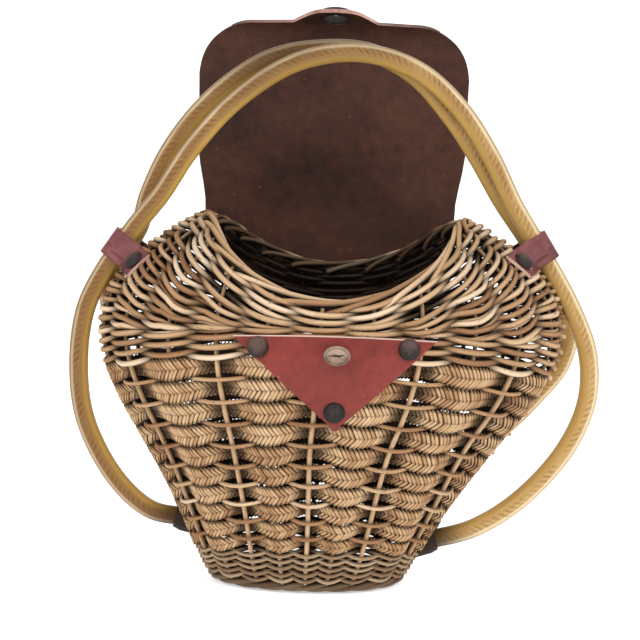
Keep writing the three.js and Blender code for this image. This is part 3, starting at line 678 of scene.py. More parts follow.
@dataclass(frozen=True)
class BasketForm:
    """The oval wall that everything is woven on; stations count the stakes from the front middle."""

    levels: tuple[Level, ...] = (
        Level(0, 62, 30, 0), Level(10, 68, 34, 0.3), Level(24, 75, 38, 0.9),
        Level(46, 86, 44, 2.6), Level(71, 101, 52, 5), Level(96, 118, 60, 7.5),
        Level(121, 135, 66, 10), Level(146, 147, 70, 11.5), Level(168, 151, 69, 12.3),
        Level(188, 147, 64, 12.8), Level(204, 137, 58, 13), Level(217, 123, 52, 13),
        Level(228, 108, 46, 13), Level(235, 97, 40, 13), Level(240, 87, 33, 13),
    )
    oval_power: float = 2.2
    wall: float = 5.0
    stakes: int = 24
    twist: float = -0.22
    crowd_top_deg: float = 9.7
    crowd_foot_deg: float = 5.0
    crowd_from: float = 20.0
    crowd_by: float = 105.0
    foot_top: Edge = Edge(29.5, 29.5, 23)
    belly_top: Edge = Edge(155.5, 155.5, 141.5)
    rim: Edge = Edge(184, 210, 240)

    def level_at(self, height: Array) -> Array:
        """Finds the oval at heights, on a smooth curve through the levels.

        Args:
            height: Heights above the floor.

        Returns:
            Half width, half depth and lean along the last axis.
        """
        known = np.array([row.height for row in self.levels])
        rows = np.array([(row.half_width, row.half_depth, row.lean) for row in self.levels])
        secant = np.diff(rows, axis=0) / np.diff(known)[:, None]
        slope = np.vstack([secant[:1], (secant[:-1] + secant[1:]) / 2, secant[-1:]])
        i = np.clip(np.searchsorted(known, height, "right") - 1, 0, len(known) - 2)
        step = (known[i + 1] - known[i])[..., None]
        share = (np.asarray(height, float) - known[i])[..., None] / step
        return hermite(share, rows[i], step * slope[i], rows[i + 1], step * slope[i + 1])

    def normal(self, point: Array) -> Array:
        """Finds which way the wall faces.

        Args:
            point: Points on the wall.

        Returns:
            Outward normals there.
        """
        step = 0.5
        here = self.level_at(point[..., 2])
        slope = (self.level_at(point[..., 2] + step) - self.level_at(point[..., 2] - step)) / (2 * step)
        across = (point[..., 0] - here[..., 2]) / here[..., 0]
        deep = point[..., 1] / here[..., 1]
        pull_across = signed_power(across, self.oval_power - 1)
        pull_deep = signed_power(deep, self.oval_power - 1)
        rise = -pull_across * (across * slope[..., 0] + slope[..., 2]) / here[..., 0]
        rise = rise - pull_deep * deep * slope[..., 1] / here[..., 1]
        return unit(np.stack([pull_across / here[..., 0], pull_deep / here[..., 1], rise], -1))

    def point(self, angle: Array, height: Array, out: Values = 0.0) -> Array:
        """Finds points of the wall.

        Args:
            angle: Angles round it; the front is at -90 degrees.
            height: Heights.
            out: How far to move out of the wall.

        Returns:
            The points.
        """
        angle, height, out = np.broadcast_arrays(np.asarray(angle, float), height, out)
        level = self.level_at(height)
        across = signed_power(np.cos(angle), 2 / self.oval_power)
        deep = signed_power(np.sin(angle), 2 / self.oval_power)
        flat = np.stack([level[..., 2] + level[..., 0] * across, level[..., 1] * deep, height], -1)
        return flat + self.normal(flat) * out[..., None]

    def front_point(self, x: Array, z: Array, out: Values = 0.0) -> Array:
        """Finds points of the front wall.

        Args:
            x: Places across, as seen from the front.
            z: Heights.
            out: How far to move out of the wall.

        Returns:
            The points.
        """
        x, z, out = np.broadcast_arrays(np.asarray(x, float), z, out)
        level = self.level_at(z)
        across = np.abs((x - level[..., 2]) / level[..., 0])
        deep = np.maximum(1 - across ** self.oval_power, 0) ** (1 / self.oval_power)
        flat = np.stack([x, -level[..., 1] * deep, z], -1)
        return flat + self.normal(flat) * out[..., None]

    def inside(self, point: Array) -> Array:
        """Tests points against the wall's outer face.

        Args:
            point: Points anywhere.

        Returns:
            Whether each lies inside.
        """
        level = self.level_at(point[..., 2])
        across = np.abs((point[..., 0] - level[..., 2]) / level[..., 0]) ** self.oval_power
        return across + np.abs(point[..., 1] / level[..., 1]) ** self.oval_power < 1

    def angle(self, station: Array, height: Values) -> Array:
        """Finds the angles of stations.

        Args:
            station: Places counted in stakes from the front middle, growing towards the right side.
            height: Heights; the stakes stand a little differently at the foot and at the shoulder.

        Returns:
            Angles round the wall, -90 degrees at the front middle.
        """
        grown = smooth_step(height, self.crowd_from, self.crowd_by)
        quarter = self.stakes / 4
        moved = np.asarray(station, float) + self.twist * grown
        halves = np.floor((moved + quarter) / (2 * quarter))
        share = moved / quarter - 2 * halves
        crowd = grown * self.crowd_top_deg * np.sin(math.pi * share)
        crowd = crowd + (1 - grown) * self.crowd_foot_deg * np.sin(TURN * share)
        return np.radians(90 * share - crowd) + math.pi * (halves - 0.5)

    def upper_angle(self, station: Array) -> Array:
        """Angles of stations from the upper belly to the rim."""
        return self.angle(station, self.crowd_by)

    def place(self, station: Array, height: Array, out: Values = 0.0) -> Array:
        """Points of the wall at stations and heights, moved out by distances."""
        return self.point(self.angle(station, height), height, out)

    def zone_height(self, edge: Edge, angle: Array) -> Array:
        """The gently bowed edge of a zone."""
        return edge.height(angle, np.abs(np.cos(angle)) ** (4 / self.oval_power))

    def rim_height(self, angle: Array) -> Array:
        """The saddle-shaped rim."""
        share = np.abs(np.cos(angle)) ** (2 / self.oval_power)
        return self.rim.height(angle, np.sin(math.pi / 2 * share) ** 2)


# Meshes

def store(mesh: bpy.types.Mesh, values: Mapping[str, Array]) -> None:
    """Stores numbers on a mesh's points.

    Args:
        mesh: The mesh.
        values: A number for each point, by the attribute's name.
    """
    for key, numbers in values.items():
        attribute = mesh.attributes.new(key, "FLOAT", "POINT")
        attribute.data.foreach_set("value", numbers.astype(np.float32))


def link(name: str, mesh: bpy.types.Mesh) -> Piece:
    """Makes an object of a mesh and puts it in the scene.

    Args:
        name: The object's name.
        mesh: Its mesh.

    Returns:
        The object.
    """
    made = bpy.data.objects.new(name, mesh)
    bpy.context.scene.collection.objects.link(made)
    return made


def link_smooth(name: str, bm: bmesh.types.BMesh, values: Mapping[str, Array]) -> Piece:
    """Makes a smoothly shaded object of a bmesh, which is used up.

    Args:
        name: The object's name.
        bm: Its shape, in metres.
        values: Numbers for its points, by the attribute's name.

    Returns:
        The object.
    """
    for face in bm.faces:
        face.smooth = True
    mesh = bpy.data.meshes.new(name)
    bm.to_mesh(mesh)
    bm.free()
    store(mesh, values)
    return link(name, mesh)


def settle(piece: Piece, slot: str, *nodes: str, body: str = "bag") -> Piece:
    """Gives a piece its place among the frame's parts.

    Args:
        piece: The piece.
        slot: The record's material slot; not used.
        nodes: Nodes of the frame that it stands for.
        body: The body that it rides on.

    Returns:
        The same piece.
    """
    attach(piece, body)
    if nodes:
        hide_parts(*nodes)
    LOG.info("%s: %d faces", piece.name, len(piece.data.polygons))
    return piece


def dress(name: str, material: Material) -> None:
    """Gives a node of the frame, whose shape is right, its finish.

    Args:
        name: The node.
        material: The finish.
    """
    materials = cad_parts[name].data.materials
    materials.clear()
    materials.append(material)
    LOG.info("%s: dressed in %s", name, material.name)


# Strands as joined meshes

class Strands:
    """Gathers rods, ribbons and leaves, and joins them into one mesh."""

    def __init__(self, sides: int = 8) -> None:
        """Starts empty.

        Args:
            sides: Sides of each strand.
        """
        self.sides = sides
        self.coords: list[Array] = []
        self.quads: list[Array] = []
        self.values: dict[str, list[Array]] = {key: [] for key in ("tone", "along", "around", "dirt")}
        self.count = 0

    def add(
        self,
        lines: Array,
        radius: Values,
        outward: Array,
        tone: Values,
        dirt: Values,
        shade: Span,
        stretch: Values = 1.0,
        extra_inner_shade: Values = 0.0,
        closed: bool = False,
        sides: int | None = None,
    ) -> None:
        """Adds a batch of strands with as many points each.

        Args:
            lines: Centre lines, as strands by points by 3.
            radius: Half thickness at each point.
            outward: The direction that counts as outside at each point.
            tone: A tint for each strand, 0 to 1.
            dirt: Darkness at each point, 0 to 1, from dust and from painted shade.
            shade: Painted shade on the side that faces inside, and how sharply it begins.
            stretch: How many times wider than thick the section is.
            extra_inner_shade: Further painted shade on all of that side, at each point.
            closed: Whether each strand joins its own start.
            sides: Sides of these strands, where they differ from the rest.
        """
        batch, size = lines.shape[:2]
        sides = sides or self.sides

        def spread(values: Values) -> Array:
            """Numbers for each point, ready to meet the sides of its ring."""
            return np.broadcast_to(values, (batch, size))[:, :, None]

        if closed:
            tangent = unit(np.roll(lines, -1, 1) - np.roll(lines, 1, 1))
        else:
            tangent = unit(np.gradient(lines, axis=1))
        side = unit(np.cross(tangent, outward))
        up = np.cross(side, tangent)
        turn = TURN * np.arange(sides) / sides
        wide = spread(radius) * spread(stretch) * np.cos(turn)
        tall = spread(radius) * np.sin(turn)
        rings = lines[:, :, None] + wide[..., None] * side[:, :, None] + tall[..., None] * up[:, :, None]
        steps = np.linalg.norm(np.diff(lines, axis=1), axis=2)
        along = np.concatenate([np.zeros((batch, 1)), np.cumsum(steps, 1)], 1)
        # Painted shade on the side that faces inside, and more over that whole side where asked.
        inner = shade[0] * ((1 - np.sin(turn)) / 2) ** shade[1]
        deep = spread(extra_inner_shade) * smooth_step(-np.sin(turn), -0.5, 0.1)
        numbers = {
            "tone": np.reshape(tone, (-1, 1, 1)),
            "along": along[:, :, None],
            "around": turn / TURN,
            "dirt": layered(spread(dirt), inner, deep),
        }
        for key, values in numbers.items():
            self.values[key].append(np.broadcast_to(values, (batch, size, sides)).ravel())
        self.coords.append(rings.reshape(-1, 3))
        self._add_faces(batch, size, sides, closed)

    def darken_last(self, least: float) -> None:
        """Gives the last batch at least this much darkness; the plaits' cores get their painted shade this
        way.
        """
        self.values["dirt"][-1] = np.maximum(self.values["dirt"][-1], least)

    def _add_faces(self, batch: int, size: int, sides: int, closed: bool) -> None:
        """Adds the side faces of a batch and, on open strands, the two ends.

        Args:
            batch: How many strands there are.
            size: Points along each.
            sides: Sides of each.
            closed: Whether each joins its own start.
        """
        start = self.count + size * sides * np.arange(batch)[:, None, None]
        here = np.arange(size if closed else size - 1)[:, None] * sides
        there = (here + sides) % (size * sides)
        j = np.arange(sides)[None, :]
        k = (j + 1) % sides
        walls = np.stack([here + j, there + j, there + k, here + k], -1)
        self.quads.append((start[..., None] + walls).reshape(-1, 4))
        if not closed:
            i = np.arange(sides // 2 - 1)
            cap = np.stack([i, i + 1, sides - 2 - i, sides - 1 - i], -1)
            last = (size - 1) * sides + cap[:, ::-1]
            self.quads.append((start + np.vstack([cap, last])).reshape(-1, 4))
        self.count += batch * size * sides

    def build(self, name: str, material: Material) -> Piece:
        """Joins what was gathered into one object.

        Args:
            name: The object's name.
            material: Its finish.

        Returns:
            The object.
        """
        coords = np.concatenate(self.coords) * MM
        quads = np.concatenate(self.quads)
        mesh = bpy.data.meshes.new(name)
        mesh.vertices.add(len(coords))
        mesh.vertices.foreach_set("co", coords.astype(np.float32).ravel())
        mesh.loops.add(quads.size)
        mesh.loops.foreach_set("vertex_index", quads.astype(np.int32).ravel())
        mesh.polygons.add(len(quads))
        mesh.polygons.foreach_set("loop_start", np.arange(0, quads.size, 4, dtype=np.int32))
        mesh.polygons.foreach_set("use_smooth", np.ones(len(quads), bool))
        store(mesh, {key: np.concatenate(parts) for key, parts in self.values.items()})
        mesh.update()
        mesh.validate()
        mesh.materials.append(material)
        return link(name, mesh)


def wobble(rng: np.random.Generator, places: Array, amount: float, period: float) -> Array:
    """Makes a gentle random wave, the same after each full turn.

    Args:
        rng: Draws its waves.
        places: Where it is wanted.
        amount: How far it strays.
        period: One full turn of the places.

    Returns:
        The wave at those places.
    """
    waves = rng.integers(2, 9, 4)
    phases = rng.uniform(0, TURN, 4)
    angle = TURN * places[:, None] / period
    return amount * np.sin(angle * waves + phases).sum(1) / 2


# The woven zones

@dataclass
class Weave:
    """What the woven zones share; strands pass in and out of a middle line inside the wall's face."""

    form: BasketForm
    seed: int = 7
    samples: int = 12
    middle: float = -2.3
    tones: Span = (0.1, 1.0)
    inner_side_shade: float = 0.98
    shade_sharp: float = 1.1
    back_inner_shade: float = 0.9
    back_band: Span = (0.0, 30.0)
    # Painted shade on a strand where it passes inside the stakes, growing over the depths behind the middle
    # line given below.
    dark: float = 0.8
    shade_from: float = -0.6
    shade_by: float = 2.2
    strands: Strands = field(default_factory=Strands)

    def __post_init__(self) -> None:
        """Draws its own random numbers."""
        self.rng = np.random.default_rng(self.seed)

    @cached_property
    def stations(self) -> Array:
        """Stations once round the basket."""
        return np.arange(self.form.stakes * self.samples) / self.samples

    @property
    def shade(self) -> Span:
        """Painted shade on the strands' inner side, and how sharply it begins."""
        return self.inner_side_shade, self.shade_sharp

    def tint(self) -> float:
        """A tone for the next strand."""
        return self.rng.uniform(*self.tones)

    def stray(self, amount: float) -> Array:
        """A gentle random wave at every station."""
        return wobble(self.rng, self.stations, amount, self.form.stakes)

    def lay(
        self,
        stations: Array,
        heights: Array,
        out: Array,
        radius: Values,
        tone: float,
        closed: bool = True,
        stretch: Values = 1.0,
        dust_and_shade: Values = 0.0,
    ) -> None:
        """Lays one strand on the wall, with painted shade where it passes inside the stakes.

        Args:
            stations: Where it runs, in stakes.
            heights: Its height there.
            out: How far out of the wall's outer face its middle is.
            radius: Half its thickness.
            tone: Its tint.
            closed: Whether it goes right round.
            stretch: How many times wider than thick it is.
            dust_and_shade: Darkness all over it, from dust and from painted shade.
        """
        line = self.form.place(stations, heights, out)
        outward = self.form.normal(self.form.place(stations, heights))
        hidden_shade = self.dark * smooth_step(self.middle - out, self.shade_from, self.shade_by)
        dirt = layered(hidden_shade, dust_and_shade)[None]
        # More painted shade on the inner side over the back half, where the inside of the bag lies in
        # shadow.
        extra_inner_shade = self.back_inner_shade * smooth_step(line[:, 1], *self.back_band)[None]
        self.strands.add(line[None], radius, outward[None], tone, dirt, self.shade, stretch, extra_inner_shade, closed)


@dataclass
class Stakes(Weave):
    """The upright rods that everything is woven round; they thin above the belly and take painted shade
    there.
    """

    tones: Span = (0.4, 0.8)
    dark: float = 0.0
    radius: float = 1.6
    shoulder_radius: float = 1.3
    top_radius: float = 1.1
    points: int = 48
    foot: float = 3.0
    rim_gap: float = 2.0
    lean: float = 0.012
    lean_height: float = 40.0
    taper_band: Span = (-4.0, 14.0)
    dust_and_shade: float = 0.45
    shade_band: Span = (-3.0, 10.0)

    def build(self) -> Piece:
        """Builds all the stakes as one piece.

        Returns:
            The piece.
        """
        for stake in range(self.form.stakes):
            angle = self.form.upper_angle(np.array(float(stake)))
            top = float(self.form.rim_height(angle)) - self.rim_gap
            heights = np.linspace(self.foot, top, self.points)
            lean = self.rng.normal(0, self.lean, 2)
            stations = stake + lean[0] + lean[1] * np.sin(heights / self.lean_height)
            shoulder = float(self.form.zone_height(self.form.belly_top, angle))
            bands = [shoulder + self.taper_band[0], shoulder + self.taper_band[1], self.form.rim.side]
            radius = np.interp(heights, bands, [self.radius, self.shoulder_radius, self.top_radius])
            out = np.full_like(heights, self.middle)
            # Painted shade on the stakes above the belly, where they stand in the shadow of the rods.
            dust_and_shade = self.dust_and_shade * smooth_step(heights - shoulder, *self.shade_band)
            self.lay(stations, heights, out, radius, self.tint(), closed=False, dust_and_shade=dust_and_shade)
        return settle(self.strands.build("stakes", WILLOW.material()), "willow")


@dataclass
class FootBand(Weave):
    """Rows of two twisted strands round the foot, on a thicker border that stands on the floor."""

    tones: Span = (0.25, 0.7)
    shade_sharp: float = 0.55
    dark: float = 0.95
    rows: int = 5
    first_row: float = 0.55
    top_level: float = 25.0
    radius: float = 1.25
    uneven: Span = (0.92, 1.08)
    swing: float = 2.1
    dip: float = 1.25
    stray_by: float = 0.25
    border_top: float = 7.2
    border_strands: int = 4
    border_tones: Span = (0.0, 0.5)
    border_dust: float = 0.5
    border_radius: float = 1.8
    border_middle: float = 3.7
    border_rise: float = 1.6
    border_inset: float = 0.3
    border_swing: float = 1.85
    border_period: float = 4.0

    def build(self) -> Piece:
        """Builds the band as one piece.

        Returns:
            The piece.
        """
        at = self.stations
        top = self.form.zone_height(self.form.foot_top, self.form.angle(at, self.top_level))
        for row in range(self.rows):
            height = self.border_top + (top - self.border_top) * (row + self.first_row) / self.rows
            for phase in (0, 1):
                front = np.cos(math.pi * (at + phase))
                heights = height - self.dip * front + self.stray(self.stray_by)
                radius = self.radius * self.rng.uniform(*self.uneven)
                self.lay(at, heights, self.middle + self.swing * front, radius, self.tint())
        for strand in range(self.border_strands):
            turn = TURN * (at / self.border_period + strand / self.border_strands)
            heights = self.border_middle + self.border_rise * np.sin(turn)
            out = self.middle - self.border_inset + self.border_swing * np.cos(turn)
            tone = self.rng.uniform(*self.border_tones)
            self.lay(at, heights, out, self.border_radius, tone, dust_and_shade=self.border_dust)
        piece = self.strands.build("foot_weave", FOOT_WILLOW.material())
        return settle(piece, "willow", "foot_band")


@dataclass
class Ribbon:
    """The flat course of one plait round the wall; its tables hold a value for every station."""

    form: BasketForm
    stations: Array
    centre: Array
    tall: Array
    lift: Array
    out: Array

    @cached_property
    def full_turn(self) -> Array:
        """The stations and the end of the full turn."""
        return np.append(self.stations, self.form.stakes)

    @cached_property
    def length(self) -> Array:
        """Distances along the course over the full turn."""
        line = self.form.place(self.stations, self.centre, self.out)
        return lengths_along(np.vstack([line, line[:1]]))

    def between(self, table: Array, station: Array) -> Array:
        """A table's values between its stations."""
        return np.interp(station, self.full_turn, np.append(table, table[0]))

    def spots(self, along: Array, across: Array, above: Array) -> tuple[Array, Array, Array]:
        """Finds places on the ribbon.

        Args:
            along: Distances along the course.
            across: Shares of its height, -0.5 at the lower edge and 0.5 at the upper.
            above: Distances out of its face.

        Returns:
            The points, the wall's outward directions there, and how far out the ribbon lies.
        """
        along, across, above = np.broadcast_arrays(along, across, above)
        station = np.interp(along % self.length[-1], self.length, self.full_turn)
        reach = self.between(self.tall, station) * self.between(self.lift, station)
        height = self.between(self.centre, station) + across * reach
        depth = self.between(self.out, station)
        points = self.form.place(station, height, depth + above)
        return points, self.form.normal(self.form.place(station, height)), depth


@dataclass
class PlaitedBelly(Weave):
    """Flat herringbone plaits that pass behind every second stake, with a thin rod between rows."""

    tones: Span = (0.2, 0.8)
    rows: int = 10
    growth: float = 1.13
    foot_level: float = 28.0
    rod_radius: float = 1.22
    rod_swing: float = 3.3
    rod_stray: float = 0.35
    rod_sag: float = 0.2
    swing: float = 3.1
    proud: float = 0.25
    gap: float = 0.5
    pinch: float = 0.3
    pinch_power: float = 0.8
    sag: float = 1.2
    stray_by: float = 0.3
    core_thickness: float = 0.7
    core_share: float = 0.47
    core_inset: float = 0.8
    core_tone: float = 0.1
    core_shade: float = 0.75
    pitch: float = 2.65
    pitch_stray: float = 0.2
    tone_stray: float = 0.14
    tone_spread: float = 0.5
    plait_spread: float = 0.25
    base_tone: float = 0.15
    leaf_run: float = 5.0
    leaf_shift: float = 0.6
    leaf_width: float = 1.02
    leaf_thickness: float = 0.42
    leaf_form: tuple[float, ...] = (0.7, 1.05, 1.15, 1.05, 0.7)
    leaf_ends: tuple[Span, Span] = ((0.49, -0.07), (0.07, -0.49))
    leaf_rise: float = 0.85
    leaf_sink: float = 0.45
    leaf_end_shade: float = 0.8
    end_band: Span = (0.1, 0.75)
    leaf_hidden_shade: float = 0.88
    hidden_band: Span = (2.2, 4.9)
    nub_radius: float = 0.42
    nub_stretch: float = 1.4
    nub_run: float = 1.4
    nub_shift: float = 0.5
    nub_turn: float = 0.12
    nub_rise: float = 0.4
    nub_edges: Span = (-0.41, 0.43)
    nub_shade: Span = (0.25, 0.9)
    leaf_shade: Span = (1.0, 1.0)

    def edges(self, row: float) -> Array:
        """Finds the line below a row.

        Args:
            row: The row, counted from the foot.

        Returns:
            Its height at every station.
        """
        low = self.form.zone_height(self.form.foot_top, self.form.angle(self.stations, self.foot_level))
        high = self.form.zone_height(self.form.belly_top, self.form.upper_angle(self.stations))
        return low + (high - low) * (row / self.rows) ** self.growth

    def build(self) -> list[Piece]:
        """Builds the thin rods and one piece for each plait.

        Returns:
            The pieces, the rods first.
        """
        front = np.cos(math.pi * self.stations)
        for row in range(1, self.rows):
            heights = self.edges(row) + self.stray(self.rod_stray) - self.rod_sag * front
            out = self.middle + self.rod_swing * front
            self.lay(self.stations, heights, out, self.rod_radius, self.tint())
        pieces = [settle(self.strands.build("belly_rods", WILLOW.material()), "willow")]
        straw = STRAW.material()
        pieces += [self.plait(row, straw) for row in range(self.rows)]
        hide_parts("plaited_wall")
        return pieces

    def course(self, row: int) -> Ribbon:
        """Works out where a plait runs.

        Args:
            row: The row, counted from the foot.

        Returns:
            Its course, which swells between the stakes that it passes in front of.
        """
        at = self.stations
        pillow = (1 - np.cos(math.pi * at)) / 2
        low, high = self.edges(row), self.edges(row + 1)
        climb = np.linalg.norm(self.form.place(at, high) - self.form.place(at, low), axis=1)
        tall = (climb - self.gap) * (1 - self.pinch * (1 - pillow) ** self.pinch_power)
        centre = (low + high) / 2 - self.sag * (pillow - 0.5) + self.stray(self.stray_by)
        out = self.middle + self.swing * (2 * pillow - 1) + self.proud
        return Ribbon(self.form, at, centre, tall, (high - low) / climb, out)

    def plait(self, row: int, material: Material) -> Piece:
        """Builds one plait: a core ribbon covered with slanting leaves that meet along its middle.

        Args:
            row: The row, counted from the foot.
            material: The straw.

        Returns:
            The plait.
        """
        course = self.course(row)
        self.strands = Strands()
        self.lay(
            self.stations, course.centre, course.out - self.core_inset, self.core_thickness, self.core_tone,
            stretch=self.core_share * course.tall / self.core_thickness,
        )
        # Painted shade on the core ribbon, which shows only in the gaps between the leaves.
        self.strands.darken_last(self.core_shade)
        turn = course.length[-1]
        count = int(turn / self.pitch)
        starts = np.arange(count)[:, None] * turn / count + self.rng.normal(0, self.pitch_stray, (count, 1))
        slow = wobble(self.rng, starts[:, 0], self.tone_stray, turn)
        tones = self.rng.uniform(0, self.tone_spread, count) + self.plait_spread * self.rng.uniform()
        tones = tones + self.base_tone + slow
        self.add_leaves(course, starts, tones)
        self.add_nubs(course, starts, tones)
        return settle(self.strands.build(f"plait_{row + 1:02d}", material), "plait")

    def add_leaves(self, course: Ribbon, starts: Array, tones: Array) -> None:
        """Covers a plait with an upper and a lower row of leaves, with painted shade at their ends.

        Args:
            course: Where the plait runs.
            starts: How far along it each leaf starts.
            tones: A tint for each leaf.
        """
        share = np.linspace(0, 1, len(self.leaf_form))[None, :]
        bow = np.sin(math.pi * share) ** 0.7
        radius = self.leaf_thickness * np.array([self.leaf_form])
        wide = self.leaf_width / self.leaf_thickness
        ways = ((0.0, self.leaf_run), (self.leaf_run + self.leaf_shift, -self.leaf_run))
        for (start, run), (top, tip) in zip(ways, self.leaf_ends):
            above = self.leaf_rise * bow - self.leaf_sink
            points, outward, depth = course.spots(
                starts + start + run * share, top + (tip - top) * share, above
            )
            # Painted shade at the leaves' tucked ends and where the plait passes deep behind a stake.
            ends = self.leaf_end_shade * (1 - smooth_step(bow, *self.end_band))
            dirt = layered(ends, self.leaf_hidden_shade * smooth_step(-depth, *self.hidden_band))
            self.strands.add(points, radius, outward, tones, dirt, self.leaf_shade, wide, sides=6)

    def add_nubs(self, course: Ribbon, starts: Array, tones: Array) -> None:
        """Adds the turns of the leaves along both edges of a plait.

        Args:
            course: Where the plait runs.
            starts: How far along it each leaf starts.
            tones: A tint for each leaf.
        """
        share = np.linspace(0, 1, 3)[None, :]
        for edge, way in zip(self.nub_edges, (1, -1)):
            along = starts + way * self.nub_run * share + self.nub_shift
            above = self.nub_rise * (1 - 2 * share)
            points, outward, depth = course.spots(along, edge - self.nub_turn * way * share, above)
            # Painted shade growing towards the end where each turn tucks under.
            dirt = np.broadcast_to(np.interp(share, (0, 1), self.nub_shade), depth.shape)
            self.strands.add(
                points, self.nub_radius, outward, tones, dirt, self.leaf_shade, self.nub_stretch, sides=4
            )


@dataclass
class WillowShoulder(Weave):
    """Single rods woven over one stake and under the next, with short rows that fan out at the sides."""

    shade_sharp: float = 0.72
    dark: float = 0.93
    shade_from: float = -1.9
    shade_by: float = 1.5
    radius: float = 1.56
    pitch: float = 3.02
    swing: float = 2.8
    slant: float = 1.5
    slant_spread: Span = (0.7, 1.2)
    stray_by: float = 0.35
    belly: float = 0.12
    uneven: float = 0.05
    thin: float = 0.6
    thin_band: Span = (0.1, 0.8)
    thin_inset: float = 1.4
    lower_rows: int = 6
    upper_rows: int = 4
    wall_steps: int = 30
    rim_room: float = 1.4
    overlap: float = 1.5
    fade: float = 6.0
    shortest: float = 0.2
    shuffle: float = 0.4
    weather: float = 0.3
    end_tuck: tuple[float, ...] = (2.6, 1.5, 0.4)
    end_taper: float = 0.75
    short_spread: Span = (0.9, 1.08)

    def build(self) -> Piece:
        """Builds the shoulder as one piece, weathered towards the two ends of the rim.

        Returns:
            The piece.
        """
        angle = self.form.upper_angle(self.stations)
        low = self.form.zone_height(self.form.belly_top, angle) - self.overlap
        high = self.form.rim_height(angle)
        heights = low[:, None] + (high - low)[:, None] * np.linspace(0, 1, self.wall_steps)
        wall = self.form.point(angle[:, None], heights)
        climb = np.array([lengths_along(line) for line in wall])
        room = climb[:, -1] - self.rim_room
        presence = self.presence(room / self.pitch)
        before = np.cumsum(presence, 0) - presence / 2
        places = before / presence.sum(0) * room
        ends = self.weather * smooth_step(np.abs(np.cos(angle)), 0.3, 0.8)
        for row, weight in enumerate(presence):
            level = np.array([np.interp(p, c, h) for p, c, h in zip(places[row], climb, heights)])
            dust_and_shade = ends * smooth_step((level - low) / (high - low), 0.5, 1.0)
            self.weave_row(row, level, weight, dust_and_shade)
        return settle(self.strands.build("shoulder_weave", WILLOW.material()), "willow", "willow_wall")

    def presence(self, rows: Array) -> Array:
        """Works out how much of each row is there at each station.

        Args:
            rows: How many rows the wall has room for, at each station.

        Returns:
            Shares from 0 to 1, rows by stations. The lower and upper rows go right round; between them
            pairs of short rows come in slowly as the wall grows taller, mostly from the top down.
        """
        spare = rows - self.lower_rows - self.upper_rows + self.fade / 2
        pairs = int(math.ceil(spare.max() / 2))
        bits = max(1, (pairs - 1).bit_length())
        mixed = np.argsort([int(f"{p:0{bits}b}"[::-1], 2) for p in range(pairs)])
        order = (1 - self.shuffle) * np.arange(pairs)[::-1] + self.shuffle * np.argsort(mixed)
        rank = np.argsort(np.argsort(order))
        full = np.ones_like(rows)
        between = [np.clip((spare - 2 * rank[p // 2]) / self.fade, 0, 1) for p in range(2 * pairs)]
        return np.array([full] * self.lower_rows + between + [full] * self.upper_rows)

    def weave_row(self, row: int, heights: Array, weight: Array, dust_and_shade: Array) -> None:
        """Weaves one row wherever it is present.

        Args:
            row: The row, counted from below.
            heights: Its height at every station.
            weight: How much of it is there.
            dust_and_shade: Its dirt.
        """
        at = self.stations
        front = np.cos(math.pi * (at + row % 2))
        dip = self.slant * self.rng.uniform(*self.slant_spread)
        heights = heights - dip * front + self.stray(self.stray_by)
        out = self.middle + self.swing * front
        there = weight >= self.shortest
        if there.all():
            radius = self.radius * (1 + self.belly * front + self.stray(self.uneven))
            self.lay(at, heights, out, radius, self.tint(), dust_and_shade=dust_and_shade)
            return
        first = int(np.flatnonzero(~there)[0])
        order = np.roll(np.arange(len(at)), -first)
        inner = np.flatnonzero(out[order] < self.middle - 0.95 * self.swing)
        present = np.flatnonzero(there[order])
        for run in np.split(present, np.flatnonzero(np.diff(present) > 1) + 1):
            if len(run) > self.samples and inner[0] <= run[0] and inner[-1] >= run[-1]:
                start = inner[np.searchsorted(inner, run[0], "right") - 1]
                stop = inner[np.searchsorted(inner, run[-1])]
                reach = order[start:stop + 1]
                full = smooth_step(weight[reach], *self.thin_band)
                radius = self.radius * (self.thin + (1 - self.thin) * full) * (1 + self.belly * front[reach])
                inset = self.thin_inset * (1 - full)
                self.short_rod(at[reach], heights[reach], out[reach] - inset, radius, dust_and_shade[reach])

    def short_rod(self, stations: Array, heights: Array, out: Array, radius: Array, dust_and_shade: Array) -> None:
        """Lays a rod whose two ends tuck inside.

        Args:
            stations: Where it runs, in stakes.
            heights: Its height there.
            out: How far out of the wall's outer face its middle is.
            radius: Half its thickness.
            dust_and_shade: Its dirt.
        """
        stations = np.unwrap(stations, period=self.form.stakes)
        tuck = np.zeros(len(stations))
        tuck[:len(self.end_tuck)] = self.end_tuck
        tuck[-len(self.end_tuck):] = self.end_tuck[::-1]
        radius = radius * self.rng.uniform(*self.short_spread)
        radius[[0, -1]] *= self.end_taper
        self.lay(stations, heights, out - tuck, radius, self.tint(), closed=False, dust_and_shade=dust_and_shade)


